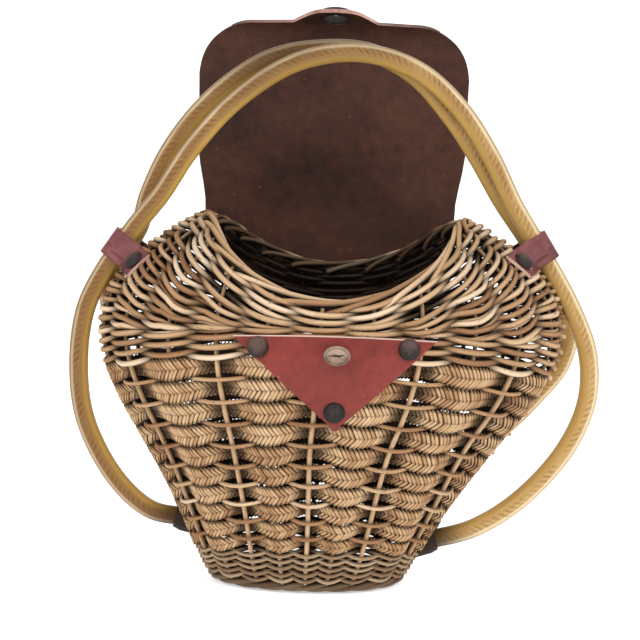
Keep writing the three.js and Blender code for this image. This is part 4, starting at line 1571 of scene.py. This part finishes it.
@dataclass
class RimBorder(Weave):
    """Each stake bends over at the rim, runs along it and tucks inside.

    The route's rows are stations on, distance outwards and distance upwards.
    """

    tones: Span = (0.25, 0.95)
    radius: float = 1.7
    uneven: Span = (0.88, 1.1)
    route: tuple[Place, ...] = (
        (0.0, -1.0, -8.0),
        (0.25, 1.0, -4.0),
        (0.8, 2.4, -0.5),
        (1.6, 1.8, 1.8),
        (2.4, -0.8, 2.2),
        (3.0, -2.6, 0.8),
        (3.4, -3.4, -3.0),
    )
    points: int = 40
    rise_spread: float = 0.2
    facing_lift: float = 3.0
    behind: Span = (-14.0, 8.0)
    rim_inner_shade: float = 0.7
    inner_band: Span = (1.0, 3.2)
    rim_back_shade: float = 0.85
    back_inner: Span = (-2.6, -1.2)

    def build(self) -> Piece:
        """Builds the border as one piece, with painted shade inside and at the back.

        Returns:
            The piece.
        """
        path = curve_through(np.array(self.route), self.points)
        for stake in range(self.form.stakes):
            middle, out, up = self.rim_frame(stake + path[:, 0])
            rise = path[:, 2:] + self.rng.normal(0, self.rise_spread)
            line = middle + out * path[:, 1:2] + up * rise
            facing = unit(out * path[:, 1:2] + up * (path[:, 2:] + self.facing_lift))
            back = smooth_step(line[:, 1], *self.behind)
            # Painted shade on the rods inside the rim, and more at the back, where the inside of the bag
            # lies in shadow.
            inner = self.rim_inner_shade * smooth_step(-path[:, 1], *self.inner_band)
            back_shaded = self.rim_back_shade * back * smooth_step(-path[:, 1], *self.back_inner)
            dirt = np.maximum(inner, back_shaded)[None]
            radius = self.radius * self.rng.uniform(*self.uneven)
            extra_inner_shade = self.back_inner_shade * back[None]
            self.strands.add(line[None], radius, facing[None], self.tint(), dirt, self.shade, extra_inner_shade=extra_inner_shade)
        return settle(self.strands.build("rim_weave", WILLOW.material()), "willow", "rim_border")

    def rim_line(self, stations: Array) -> Array:
        """The middle of the rim."""
        angle = self.form.upper_angle(stations)
        return self.form.point(angle, self.form.rim_height(angle), -self.form.wall / 2)

    def rim_frame(self, stations: Array) -> tuple[Array, Array, Array]:
        """Finds how the rim lies.

        Args:
            stations: Where, in stakes.

        Returns:
            Its middle line, and its outward and upward directions.
        """
        step = 0.05
        along = unit(self.rim_line(stations + step) - self.rim_line(stations - step))
        angle = self.form.upper_angle(stations)
        face = self.form.normal(self.form.point(angle, self.form.rim_height(angle)))
        up = unit(np.cross(face, along))
        return self.rim_line(stations), unit(np.cross(along, up)), up


@dataclass
class WovenBase(Weave):
    """The oval floor: rings of rods, woven through cross sticks round a straight middle."""

    tones: Span = (0.1, 0.9)
    inner_side_shade: float = 0.2
    shade_sharp: float = 1.5
    rings: int = 9
    ring_points: int = 240
    ring_dirt: float = 0.3
    first_ring: float = 0.6
    radius: float = 1.35
    swing: float = 0.75
    height: float = 2.3
    sticks: int = 9
    stick_radius: float = 1.2
    stick_points: int = 12
    stick_tone: float = 0.5
    stick_dirt: float = 0.4
    inset: float = 1.3
    core: float = 0.55

    def build(self) -> Piece:
        """Builds the floor as one piece.

        Returns:
            The piece.
        """
        turn = np.linspace(0, TURN, self.ring_points, endpoint=False)
        edge = self.form.point(turn, np.zeros_like(turn), -self.form.wall - self.inset)
        edge[:, 2] = 0
        core = edge * [self.core, 0, 0]
        up = np.broadcast_to(np.array([0.0, 0.0, 1.0]), (1, len(turn), 3))
        for ring in range(self.rings):
            line = core + (edge - core) * (ring + self.first_ring) / (self.rings - 1 + self.first_ring)
            line[:, 2] = self.height + self.swing * np.cos(self.sticks * turn + math.pi * ring)
            self.strands.add(
                line[None], self.radius, up, self.tint(), self.ring_dirt, self.shade, closed=True
            )
        for stick in range(self.sticks):
            start = int(len(turn) * (stick + 0.5) / (2 * self.sticks))
            line = np.linspace(edge[start], edge[start + len(turn) // 2], self.stick_points)
            line[:, 2] = self.height
            across = up[:, :self.stick_points]
            self.strands.add(
                line[None], self.stick_radius, across, self.stick_tone, self.stick_dirt, self.shade
            )
        return settle(self.strands.build("base_weave", FOOT_WILLOW.material()), "willow", "base_mat")


# Leather, studs and the lock

def cut_sheet(
    name: str,
    loops: Sequence[Array],
    spacing: float,
    place: Callable[[Array], Array],
    facing: Callable[[Array], Array],
    edge: Callable[[Array], Array],
) -> Piece:
    """Cuts a flat sheet, divides it evenly and bends it into place.

    Args:
        name: The piece's name.
        loops: The outline and any holes, as points in the flat sheet.
        spacing: How far apart the dividing cuts are.
        place: Takes flat points to places in millimetres.
        facing: The outward direction wanted at those places.
        edge: How far flat points are from the edge that shows its cut.

    Returns:
        The sheet, one face thick, with that distance as its edge attribute.
    """
    bm = bmesh.new()
    for loop in loops:
        corners = [bm.verts.new((x, y, 0)) for x, y in loop]
        for first, second in zip(corners, corners[1:] + corners[:1]):
            bm.edges.new((first, second))
    bmesh.ops.triangle_fill(bm, use_beauty=True, use_dissolve=False, edges=bm.edges[:])
    for way, values in zip(((1, 0, 0), (0, 1, 0)), loops[0].T):
        for cut in np.arange(values.min() + spacing, values.max(), spacing):
            everything = bm.verts[:] + bm.edges[:] + bm.faces[:]
            point = Vector(way) * cut
            bmesh.ops.bisect_plane(bm, geom=everything, plane_co=point, plane_no=way, dist=1e-4)
    bmesh.ops.remove_doubles(bm, verts=bm.verts[:], dist=0.02)
    flat = np.array([vert.co[:2] for vert in bm.verts])
    for vert, spot in zip(bm.verts, place(flat)):
        vert.co = Vector(spot * MM)
    bmesh.ops.recalc_face_normals(bm, faces=bm.faces[:])
    middles = np.array([face.calc_center_median() for face in bm.faces]) / MM
    normals = np.array([face.normal for face in bm.faces])
    if np.sum(normals * facing(middles)) < 0:
        bmesh.ops.reverse_faces(bm, faces=bm.faces[:])
    return link_smooth(name, bm, {"edge": edge(flat)})


def thicken(
    piece: Piece,
    thickness: float,
    round_edge: float,
    finishes: Sequence[LeatherFinish],
) -> None:
    """Gives a sheet its thickness behind its first face, with rounded edges.

    Args:
        piece: The sheet.
        thickness: In millimetres.
        round_edge: Radius of the edges.
        finishes: Finishes of the first face, the far face and the cut edge.
    """
    for finish in finishes:
        piece.data.materials.append(finish.material())
    wall = piece.modifiers.new("thickness", "SOLIDIFY")
    wall.thickness = thickness * MM
    wall.offset = -1
    wall.material_offset = 1
    wall.material_offset_rim = 2
    edge = piece.modifiers.new("edge", "BEVEL")
    edge.width = round_edge * MM
    edge.segments = 2
    edge.limit_method = "ANGLE"
    edge.angle_limit = math.radians(50)
    edge.profile = 0.5


@dataclass
class Lid:
    """One thick leather flap fixed outside the back wall, curled forward at its tongue.

    The profile's rows are y and z of the inner face, from the lower edge to the tip of the tongue. The
    widths' rows are distances along it and half widths, and the tongue's rows are half widths and y.
    """

    profile: tuple[Span, ...] = (
        (70.2, 168), (66.2, 186), (63, 203), (62.2, 214), (63.4, 232), (67, 262), (71, 300), (73.5, 335),
        (73.5, 360), (72, 374), (68.7, 381.4), (63, 384.8), (57.5, 386), (52, 386.6), (46, 386.5),
        (41, 385.6),
    )
    widths: tuple[Span, ...] = ((0, 70), (80, 91), (132, 98.5), (166, 100), (255, 98))
    tongue: tuple[Span, ...] = (
        (40.5, 70), (33, 65), (27, 60), (21, 54), (15, 48), (8, 43.5), (0, 41.2),
    )
    curve_points: int = 400
    rising_end: int = 362
    curl_start: int = 340
    middle: float = 8.3
    top: float = 384.2
    top_half: float = 100.0
    top_radius: float = 44.0
    top_power: float = 2.6
    low_radius: float = 16.0
    wrap: float = 5.0
    thickness: float = 2.5
    round_edge: float = 0.55
    slot_along: float = 229.0
    slot_width: float = 22.5
    slot_height: float = 15.5
    spacing: float = 4.0
    waves: float = 0.7
    bare_edge: Span = (150.0, 185.0)
    corner_points: int = 10
    side_rows: Place = (30.0, 150.0, 12.0)
    top_points: int = 18
    top_from: float = 0.12
    tongue_points: int = 30
    slot_points: int = 28
    edge_points: int = 900
    far: float = 10.0

    @cached_property
    def curve(self) -> Array:
        """The inner face's profile at even steps, as y and z."""
        return curve_through(np.array(self.profile), self.curve_points)

    @cached_property
    def length(self) -> float:
        """The profile's length."""
        return float(lengths_along(self.curve)[-1])

    def half_width(self, along: Array) -> Array:
        """Finds how wide the flap is.

        Args:
            along: Distances along it.

        Returns:
            Half its width there.
        """
        known, half = np.array(self.widths).T
        i = np.clip(np.searchsorted(known, along, "right") - 1, 0, len(known) - 2)
        return half[i] + (half[i + 1] - half[i]) * smooth_step(along, known[i], known[i + 1])

    def bend(self, flat: Array) -> Array:
        """Bends the flap into place: wrapped round the wall below, gently rippled above.

        Args:
            flat: Points of the flat flap, across and along.

        Returns:
            Their places.
        """
        across, along = flat.T
        share = np.clip(along / self.length, 0, 1)
        steps = np.linspace(0, 1, len(self.curve))
        y, z = (np.interp(share, steps, column) for column in self.curve.T)
        side = across / self.half_width(along)
        ripple = np.sin(across / 31 + 1.1) * np.sin(along / 43) + 0.5 * np.sin(along / 19 + 2)
        y = y - self.wrap * (1 - share) * side * side - self.waves * ripple * smooth_step(share, 0.25, 0.5)
        return np.stack([self.middle + across, y, z], -1)

    def along_at(self, values: Array, axis: int, part: slice) -> Array:
        """Finds where the profile has given values.

        Args:
            values: The values wanted.
            axis: 0 where they are y, 1 where they are z.
            part: The stretch of the profile to look in.

        Returns:
            Distances along the flap.
        """
        steps = np.linspace(0, self.length, len(self.curve))[part]
        known = self.curve[part, axis]
        order = np.argsort(known)
        return np.interp(values, known[order], steps[order])

    @cached_property
    def outline(self) -> Array:
        """Draws the flap's outline, laid flat.

        Returns:
            Its points in order.
        """
        rising, curling = slice(0, self.rising_end), slice(self.curl_start, None)
        turn = np.linspace(0, math.pi / 2, self.corner_points)
        low_x = self.widths[0][1] - self.low_radius * (1 - np.sin(turn))
        low_z = self.profile[0][1] + self.low_radius * (1 - np.cos(turn))
        low = np.stack([low_x, self.along_at(low_z, 1, rising)], -1)
        edge_along = np.arange(*self.side_rows)
        edge = np.stack([self.half_width(edge_along), edge_along], -1)
        turn = np.linspace(self.top_from, math.pi / 2, self.top_points)
        power = 2 / self.top_power
        top_x = self.top_half - self.top_radius * (1 - np.abs(np.cos(turn)) ** power)
        top_z = self.top - self.top_radius * (1 - np.sin(turn) ** power)
        top = np.stack([top_x, self.along_at(top_z, 1, rising)], -1)
        rows = curve_through(np.array(self.tongue), self.tongue_points)
        lip = np.stack([rows[:, 0], self.along_at(rows[:, 1], 0, curling)], -1)
        lip = lip[lip[:, 1] > top[-1, 1] + 0.5]
        right = np.vstack([low, edge, top, lip])
        return np.vstack([right, right[-2::-1] * [-1, 1]])

    def build(self) -> Piece:
        """Builds the flap with its slot.

        Returns:
            The flap.
        """
        turn = np.linspace(0, TURN, self.slot_points, endpoint=False)
        slot_x = self.slot_width / 2 * np.cos(turn)
        slot = np.stack([slot_x, self.slot_along + self.slot_height / 2 * np.sin(turn)], -1)

        def forward(spots: Array) -> Array:
            """The inner face looks forward, and down under the tongue."""
            return np.broadcast_to(np.array([0.0, -1.0, -0.6]), spots.shape)

        def from_edge(flat: Array) -> Array:
            """Distance from the outline above the basket; the lower part counts as far from it."""
            edge = curve_through(self.outline, self.edge_points)
            gaps = np.linalg.norm(flat[:, None] - edge[None], axis=2).min(1)
            return gaps + self.far * (1 - smooth_step(flat[:, 1], *self.bare_edge))

        loops = [self.outline, slot]
        flap = cut_sheet("lid_flap", loops, self.spacing, self.bend, forward, from_edge)
        thicken(flap, self.thickness, self.round_edge, (LID_INSIDE, RED_LEATHER, LID_EDGE))
        return settle(flap, "lid_leather", "lid")


@dataclass
class FrontPatch:
    """The leather triangle that carries the turn button."""

    form: BasketForm
    left: float = -44.0
    right: float = 73.0
    top: float = 164.6
    tip: float = 112.0
    arch: float = 1.4
    tip_half: float = 2.5
    tip_drop: float = 0.7
    middle: float = 16.0
    lift: float = 0.9
    curl: float = 0.9
    curl_band: Span = (40.0, 60.0)
    thickness: float = 2.3
    round_edge: float = 0.45
    spacing: float = 3.5

    def build(self) -> Piece:
        """Builds the patch.

        Returns:
            The patch.
        """
        across = np.linspace(-1, 1, 13)
        top_x = self.left + (self.right - self.left) * (across + 1) / 2
        top = np.stack([top_x, self.top + self.arch * (1 - across ** 2)], -1)
        turn = np.linspace(0, math.pi, 7)
        tip_x = self.middle + self.tip_half * np.cos(turn)
        tip = np.stack([tip_x, self.tip + self.tip_half * (self.tip_drop - np.sin(turn))], -1)

        def place(flat: Array) -> Array:
            """On the front wall, with the corners a little proud."""
            curl = self.curl * smooth_step(np.abs(flat[:, 0] - self.middle), *self.curl_band)
            return self.form.front_point(flat[:, 0], flat[:, 1], self.lift + self.thickness + curl)

        def from_top(flat: Array) -> Array:
            """Distance below the top edge."""
            return np.interp(flat[:, 0], top[:, 0], top[:, 1]) - flat[:, 1]

        loops = [np.vstack([top, tip])]
        patch = cut_sheet("red_patch", loops, self.spacing, place, self.form.normal, from_top)
        thicken(patch, self.thickness, self.round_edge, (RED_LEATHER, LID_INSIDE, RAW_EDGE))
        return settle(patch, "red_leather", "front_patch")


def lathe(
    name: str,
    profile: Sequence[Span],
    seat: Array,
    axis: Place,
    level: Place,
    oval: Span = (1.0, 1.0),
    segments: int = 40,
    tone: float = 0.5,
) -> Piece:
    """Turns a profile into a closed body and stands it on a seat.

    Args:
        name: The piece's name.
        profile: Radius and height pairs from the middle of the bottom to the middle of the top.
        seat: Where its bottom's middle is, in millimetres.
        axis: The way it points.
        level: The way its oval's long axis lies.
        oval: Stretch along the long and the short axis.
        segments: Faces round it.
        tone: Its age, from dark at 0 to worn at 1.

    Returns:
        The body. Its attributes are crown, 1 at its top; reach, the profile's radius; level and
        upright, places along its long and short axes; and tone.
    """
    bm = bmesh.new()
    chain = [bm.verts.new((radius, 0, height)) for radius, height in profile]
    edges = [bm.edges.new(pair) for pair in zip(chain, chain[1:])]
    bmesh.ops.spin(
        bm, geom=chain + edges, cent=(0, 0, 0), axis=(0, 0, 1), angle=TURN,
        steps=segments, use_merge=True, use_duplicate=False,
    )
    bmesh.ops.remove_doubles(bm, verts=bm.verts[:], dist=1e-4)
    bmesh.ops.recalc_face_normals(bm, faces=bm.faces[:])
    spots = np.array([vert.co for vert in bm.verts])
    low, high = spots[:, 2].min(), spots[:, 2].max()
    values = {
        "crown": (spots[:, 2] - low) / (high - low),
        "reach": np.hypot(spots[:, 0], spots[:, 1]),
        "level": spots[:, 0] * oval[0],
        "upright": spots[:, 1] * oval[1],
        "tone": np.full(len(spots), tone),
    }
    z = Vector(axis).normalized()
    y = z.cross(Vector(level)).normalized()
    x = y.cross(z)
    stand = Matrix((x, y, z)).transposed().to_4x4()
    stand.translation = Vector(seat) * MM
    stretch = Matrix.Diagonal((oval[0] * MM, oval[1] * MM, MM, 1))
    bmesh.ops.transform(bm, matrix=stand @ stretch, verts=bm.verts[:])
    return link_smooth(name, bm, values)


def node_box(node: str) -> tuple[Array, Array]:
    """A node's lowest and highest corners, in millimetres."""
    low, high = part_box(node)
    return np.array(low) / MM, np.array(high) / MM


@dataclass
class Studs:
    """Domed studs on the patch, the straps and the lid's lower edge."""

    form: BasketForm
    radius: float = 6.3
    height: float = 4.6
    brim: float = 1.0
    edge_round: Span = (0.3, 0.35)
    dome_share: float = 0.98
    dome_steps: int = 8
    level: Place = (1.0, 0.2, 0.1)
    tone: float = 0.65
    patch_tones: Mapping[str, float] = field(default_factory=lambda: {
        "patch_stud_left": 0.75, "patch_stud_right": 0.5, "patch_stud_tip": 0.05,
    })

    def profile(self) -> list[Span]:
        """Draws a brim with a rounded edge under a low dome.

        Returns:
            Rows of radius and height.
        """
        inset, rise = self.edge_round
        rows = [(0.0, 0.0), (self.radius - inset, 0.0), (self.radius, rise), (self.radius, self.brim)]
        for step in range(1, self.dome_steps):
            turn = math.pi / 2 * step / self.dome_steps
            height = self.brim + (self.height - self.brim) * math.sin(turn)
            rows.append((self.radius * self.dome_share * math.cos(turn), height))
        return [*rows, (0.0, self.height)]

    def build(self) -> list[Piece]:
        """Builds a stud for every stud node, where that node is.

        Returns:
            The studs.
        """
        material = STUD_METAL.material()
        pieces = []
        for node in sorted(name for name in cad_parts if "stud" in name):
            centre = sum(node_box(node)) / 2
            axis = self.form.normal(centre)
            seat = centre - axis * self.height / 2
            tone = self.patch_tones.get(node, self.tone)
            stud = lathe(node + "_dome", self.profile(), seat, axis, self.level, tone=tone)
            stud.data.materials.append(material)
            pieces.append(settle(stud, "stud_metal", node))
        return pieces


@dataclass
class TurnLock:
    """The oval plate and the turn button with its cracked face."""

    knob_profile: tuple[Span, ...] = (
        (0, 0), (3.0, 0), (3.0, 3.2), (5.0, 3.3), (5.6, 4.0), (5.75, 5.0), (5.6, 6.0), (5.25, 6.6),
        (4.85, 6.8), (4.6, 6.65), (4.45, 6.45), (4.3, 6.6), (4.0, 7.05), (3.4, 7.35), (2.4, 7.5),
        (1.2, 7.57), (0, 7.6),
    )
    plate_profile: tuple[Span, ...] = (
        (0, 0), (4.75, 0), (4.9, 0.3), (4.7, 0.8), (4.2, 1.1), (3.6, 0.95), (0, 0.9),
    )
    knob_stretch: float = 1.35
    plate_stretch: float = 1.3
    segments: int = 48
    forward: Place = (0.0, -1.0, 0.0)
    level: Place = (1.0, 0.0, 0.0)

    def build(self) -> list[Piece]:
        """Builds the plate on the bag and the button on its own body.

        Returns:
            The plate and the button.
        """
        pieces = []
        for node, profile, stretch, finish, body in (
            ("lock_plate", self.plate_profile, self.plate_stretch, PLATE_METAL, "bag"),
            ("turn_knob", self.knob_profile, self.knob_stretch, KNOB_METAL, "knob"),
        ):
            low, high = node_box(node)
            seat = (low + high) / 2
            seat[1] = high[1]
            oval = (stretch, 1.0)
            piece = lathe(node + "_oval", profile, seat, self.forward, self.level, oval, self.segments)
            piece.data.materials.append(finish.material())
            pieces.append(settle(piece, "knob_metal", node, body=body))
        return pieces


# Handles and straps

FRONT_ROUTE = (
    (-80.5, 0, 38), (-104, -1, 42.5), (-127, -3, 63), (-147.5, -5, 102), (-152.5, -6, 140), (-148, -7, 176),
    (-135.5, -7, 202.6), (-126.4, -7, 216), (-117.3, -7, 229.4), (-101.2, -7, 250), (-82.6, -7, 279.5),
    (-53.8, -7, 312.3), (-16, -7, 337.5), (24, -7, 345), (62, -7, 335), (90.3, -7, 311.7), (111, -7, 282.5),
    (127.5, -7, 251), (137, -7, 236), (145.6, -7, 222.5), (154.2, -7, 209), (167.5, -7, 186), (180, -6, 156),
    (181, -5, 124), (168, -4, 91), (140, -2, 57), (110, -1, 36.5), (81, 0, 27.5),
)
BACK_ROUTE = (
    (-69, 34, 49.5), (-88, 46, 58), (-110, 51, 80), (-127, 48, 112), (-137, 38, 150), (-141, 20, 183),
    (-135.5, 7.4, 202.6), (-126.4, 7, 216), (-117.9, 7, 229.8), (-112, 7.5, 252), (-98, 8, 283),
    (-73, 8, 315.2), (-36, 8, 342.5), (0, 8, 351), (32, 8, 349.5), (62, 8, 335), (86, 8, 310), (104, 8, 285),
    (123, 7.5, 254), (135.5, 7, 236.5), (145.6, 7, 222.5), (154.3, 7.8, 209), (169, 18, 187),
    (178, 30, 165.5), (174.5, 38, 142.5), (159.5, 44, 120), (144, 47, 102), (117, 49, 78), (91, 46, 57),
    (73.5, 33.5, 47.5),
)


@dataclass
class Handle:
    """An amber tube along the frame's own route."""

    name: str
    route: tuple[Place, ...]
    dark_patch: float
    radius: float = 6.0
    samples: int = 260
    sides: int = 20
    end_dark: float = 0.92
    end_band: Span = (2.0, 36.0)
    dark_patch_middle: float = -5.0
    dark_patch_half: float = 80.0
    arch_low: float = 300.0

    def build(self) -> Piece:
        """Builds the tube, darker towards its ends and at the top of its arch, where the dark lid is painted
        as seen through the tube.

        Returns:
            The tube.
        """
        line = curve_through(np.array(self.route), self.samples)
        forward = np.tile(np.array([0.0, -1.0, 0.0]), (len(line), 1))
        length = lengths_along(line)
        to_end = np.minimum(length, length[-1] - length)
        ends = self.end_dark * (1 - smooth_step(to_end, *self.end_band))
        # Painted see-through: the top of the arch is darkened for the dark lid behind the clear tube.
        from_middle = np.abs(line[:, 0] - self.dark_patch_middle) / self.dark_patch_half
        top = (line[:, 2] > self.arch_low) * (1 - smooth_step(from_middle, 0.3, 1))
        dark = np.maximum(ends, self.dark_patch * top)
        tube = Strands(self.sides)
        tube.add(line[None], self.radius, forward[None], 0.5, dark[None], shade=(0.0, 1.0))
        return settle(tube.build(self.name + "_tube", TUBE.material()), "tube_vinyl", self.name)


class Side(Enum):
    """The bag's two ends, as seen from the front."""

    LEFT = "left"
    RIGHT = "right"

    @property
    def sign(self) -> int:
        """The end's direction along the bag's width."""
        return -1 if self is Side.LEFT else 1


@dataclass
class ShoulderStrap:
    """A leather strap over both tubes with a foot on the wall on either side.

    Its centre and the way it rises along the tubes are x and z, as seen from the front.
    """

    form: BasketForm
    side: Side
    centre: Span
    rise: Span
    width: float = 19.0
    width_rows: int = 9
    thickness: float = 2.0
    round_edge: float = 0.4
    clearance: float = 0.9
    lift: float = 0.7
    foot_inner: float = 18.0
    foot_outer: float = 32.0
    section_points: int = 72
    tube_radius: float = 6.0
    tube_spread: float = 7.0
    deepest: float = 60.0

    @cached_property
    def outward(self) -> Array:
        """The way from the wall to the tubes, across the strap's rise."""
        return self.side.sign * np.array([self.rise[1], 0, -self.rise[0]])

    def wall_height(self, centre: Array, y: Array) -> Array:
        """Finds where the wall lies in the strap's own plane, by halving.

        Args:
            centre: The middle between the tubes.
            y: Places across the bag.

        Returns:
            Distances outwards from the centre.
        """
        low, high = np.full(len(y), -self.deepest), np.zeros(len(y))
        for _ in range(26):
            middle = (low + high) / 2
            probe = centre + self.outward * middle[:, None]
            probe[:, 1] += y
            within = self.form.inside(probe)
            low, high = np.where(within, middle, low), np.where(within, high, middle)
        return high

    def section(self, centre: Array) -> Array:
        """Draws the strap's inner face in its own plane, foot to foot.

        Args:
            centre: The middle between the tubes.

        Returns:
            Rows of y and distance outwards.
        """
        radius = self.tube_radius + self.clearance
        y = np.linspace(self.foot_outer, self.foot_inner, 5)
        turn = np.linspace(0.15, math.pi / 2, 7)
        over = np.stack([self.tube_spread + radius * np.cos(turn), radius * np.sin(turn)], -1)
        halves = []
        for sign in (-1, 1):
            foot = np.stack([y, self.wall_height(centre, sign * y) + self.lift], -1)
            halves.append(np.vstack([foot, over]) * [sign, 1])
        return curve_through(np.vstack([halves[0], halves[1][::-1]]), self.section_points)

    def build(self) -> Piece:
        """Builds the strap.

        Returns:
            The strap.
        """
        rows = []
        for shift in np.linspace(-self.width / 2, self.width / 2, self.width_rows):
            x, z = np.array(self.centre) + np.array(self.rise) * shift
            centre = np.array([x, 0, z])
            section = self.section(centre)
            row = centre + self.outward * (section[:, 1:] + self.thickness)
            row[:, 1] += section[:, 0]
            rows.append(row)
        grid = np.array(rows)
        last = np.array([grid.shape[1] - 1, grid.shape[0] - 1])

        def place(flat: Array) -> Array:
            """Takes strap coordinates to places."""
            column, line = np.clip(np.round(flat).astype(int), 0, last).T
            return grid[line, column]

        def facing(spots: Array) -> Array:
            """Away from the tubes."""
            return np.broadcast_to(self.outward, spots.shape)

        def from_foot(flat: Array) -> Array:
            """Distance from the ends of the strap's feet, in steps of its section."""
            return np.minimum(flat[:, 0], last[0] - flat[:, 0])

        loop = np.array([(0, 0), (1, 0), (1, 1), (0, 1)], float) * last
        strap = cut_sheet(f"strap_{self.side.value}", [loop], 1.0, place, facing, from_foot)
        thicken(strap, self.thickness, self.round_edge, (DUSTY_LEATHER, LID_INSIDE, RAW_EDGE))
        return settle(strap, "red_leather", f"shoulder_tab_{self.side.value}")


# The studio

@dataclass(frozen=True)
class Lamp:
    """A soft area light, in metres and watts."""

    name: str
    place: Place
    size: float
    power: float


@dataclass
class Studio:
    """A pale sweep of floor, soft lights, and a camera where the photograph was taken."""

    camera_place: Place = (13.0, -540.0, 196.0)
    pitch_deg: float = 2.5
    roll_deg: float = 1.8
    focal_pixels: float = 819.0
    frame_pixels: float = 640.0
    axis_pixel: float = 333.0
    sensor: float = 36.0
    floor_half: float = 4000.0
    sweep_start: float = 900.0
    sweep_radius: float = 900.0
    sweep_steps: int = 12
    floor_glow: float = 0.45
    sky: float = 0.5
    aim: Place = (0.0, 0.0, 0.16)
    lamps: tuple[Lamp, ...] = (
        Lamp("right", (0.9, -0.9, 1.2), 0.7, 11.5),
        Lamp("left", (-0.8, -1.0, 1.1), 0.6, 9.0),
    )

    def camera(self) -> None:
        """Sets the camera."""
        pitch, roll = math.radians(self.pitch_deg), math.radians(self.roll_deg)
        ahead = Vector((0, math.cos(pitch), -math.sin(pitch)))
        right = Vector((1, 0, 0))
        up = right.cross(ahead)
        tilted_right = right * math.cos(roll) + up * math.sin(roll)
        tilted_up = up * math.cos(roll) - right * math.sin(roll)
        data = bpy.data.cameras.new("photo_camera")
        data.sensor_width = self.sensor
        data.lens = self.focal_pixels / self.frame_pixels * self.sensor
        data.shift_x = (self.frame_pixels / 2 - self.axis_pixel) / self.frame_pixels
        data.clip_start = 0.01
        camera = link("photo_camera", data)
        stand = Matrix((tilted_right, tilted_up, -ahead)).transposed().to_4x4()
        stand.translation = Vector(self.camera_place) * MM
        camera.matrix_world = stand
        bpy.context.scene.camera = camera

    def floor(self) -> None:
        """Builds the floor, which sweeps up behind the bag."""
        profile = [(-self.floor_half, 0.0), (self.sweep_start, 0.0)]
        for step in range(1, self.sweep_steps + 1):
            turn = math.pi / 2 * step / self.sweep_steps
            along = self.sweep_start + self.sweep_radius * math.sin(turn)
            profile.append((along, self.sweep_radius * (1 - math.cos(turn))))
        profile.append((profile[-1][0], self.floor_half))
        bm = bmesh.new()
        chain = [bm.verts.new((-self.floor_half * MM, y * MM, z * MM)) for y, z in profile]
        edges = [bm.edges.new(pair) for pair in zip(chain, chain[1:])]
        drawn = bmesh.ops.extrude_edge_only(bm, edges=edges)
        moved = [item for item in drawn["geom"] if isinstance(item, bmesh.types.BMVert)]
        bmesh.ops.translate(bm, verts=moved, vec=(2 * self.floor_half * MM, 0, 0))
        floor = link_smooth("floor", bm, {})
        floor.data.materials.append(Graph("pale_floor").finish({
            "Base Color": srgb(250, 250, 250),
            "Roughness": 0.9,
            "Emission Color": srgb(255, 255, 255),
            "Emission Strength": self.floor_glow,
        }))

    def light(self, lamp: Lamp) -> None:
        """Adds one light, aimed at the bag.

        Args:
            lamp: The light.
        """
        data = bpy.data.lights.new(lamp.name, "AREA")
        data.size = lamp.size
        data.energy = lamp.power
        aim = Vector(self.aim) - Vector(lamp.place)
        turned = aim.to_track_quat("-Z", "Y").to_matrix().to_4x4()
        link(lamp.name, data).matrix_world = Matrix.Translation(lamp.place) @ turned

    def build(self) -> None:
        """Builds the whole studio."""
        self.camera()
        self.floor()
        world = bpy.data.worlds.new("studio")
        world.use_nodes = True
        background = world.node_tree.nodes["Background"].inputs
        background["Color"].default_value = (1, 1, 1, 1)
        background["Strength"].default_value = self.sky
        bpy.context.scene.world = world
        bpy.context.scene.view_settings.view_transform = "Standard"
        for lamp in self.lamps:
            self.light(lamp)


def main() -> None:
    """Builds the bag in order."""
    logging.basicConfig(level=logging.INFO, format="%(name)s %(message)s")
    form = BasketForm()
    for assembly in (
        Studio(),
        Stakes(form, seed=3),
        FootBand(form, seed=5),
        PlaitedBelly(form, seed=11),
        WillowShoulder(form, seed=17),
        RimBorder(form, seed=23),
        WovenBase(form, seed=29),
        Lid(),
        FrontPatch(form),
        Studs(form),
        TurnLock(),
        Handle("handle_front", FRONT_ROUTE, dark_patch=0.28),
        Handle("handle_back", BACK_ROUTE, dark_patch=0.62),
        ShoulderStrap(form, Side.LEFT, (-126.4, 216), (0.562, 0.827)),
        ShoulderStrap(form, Side.RIGHT, (145.6, 222.5), (-0.538, 0.843)),
    ):
        assembly.build()
    keeper = DARK_LEATHER.material()
    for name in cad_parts:
        if name.startswith("keeper"):
            dress(name, keeper)
    dress("slot_eyelet", EYELET_METAL.material())
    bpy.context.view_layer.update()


if __name__ == "__main__":
    main()
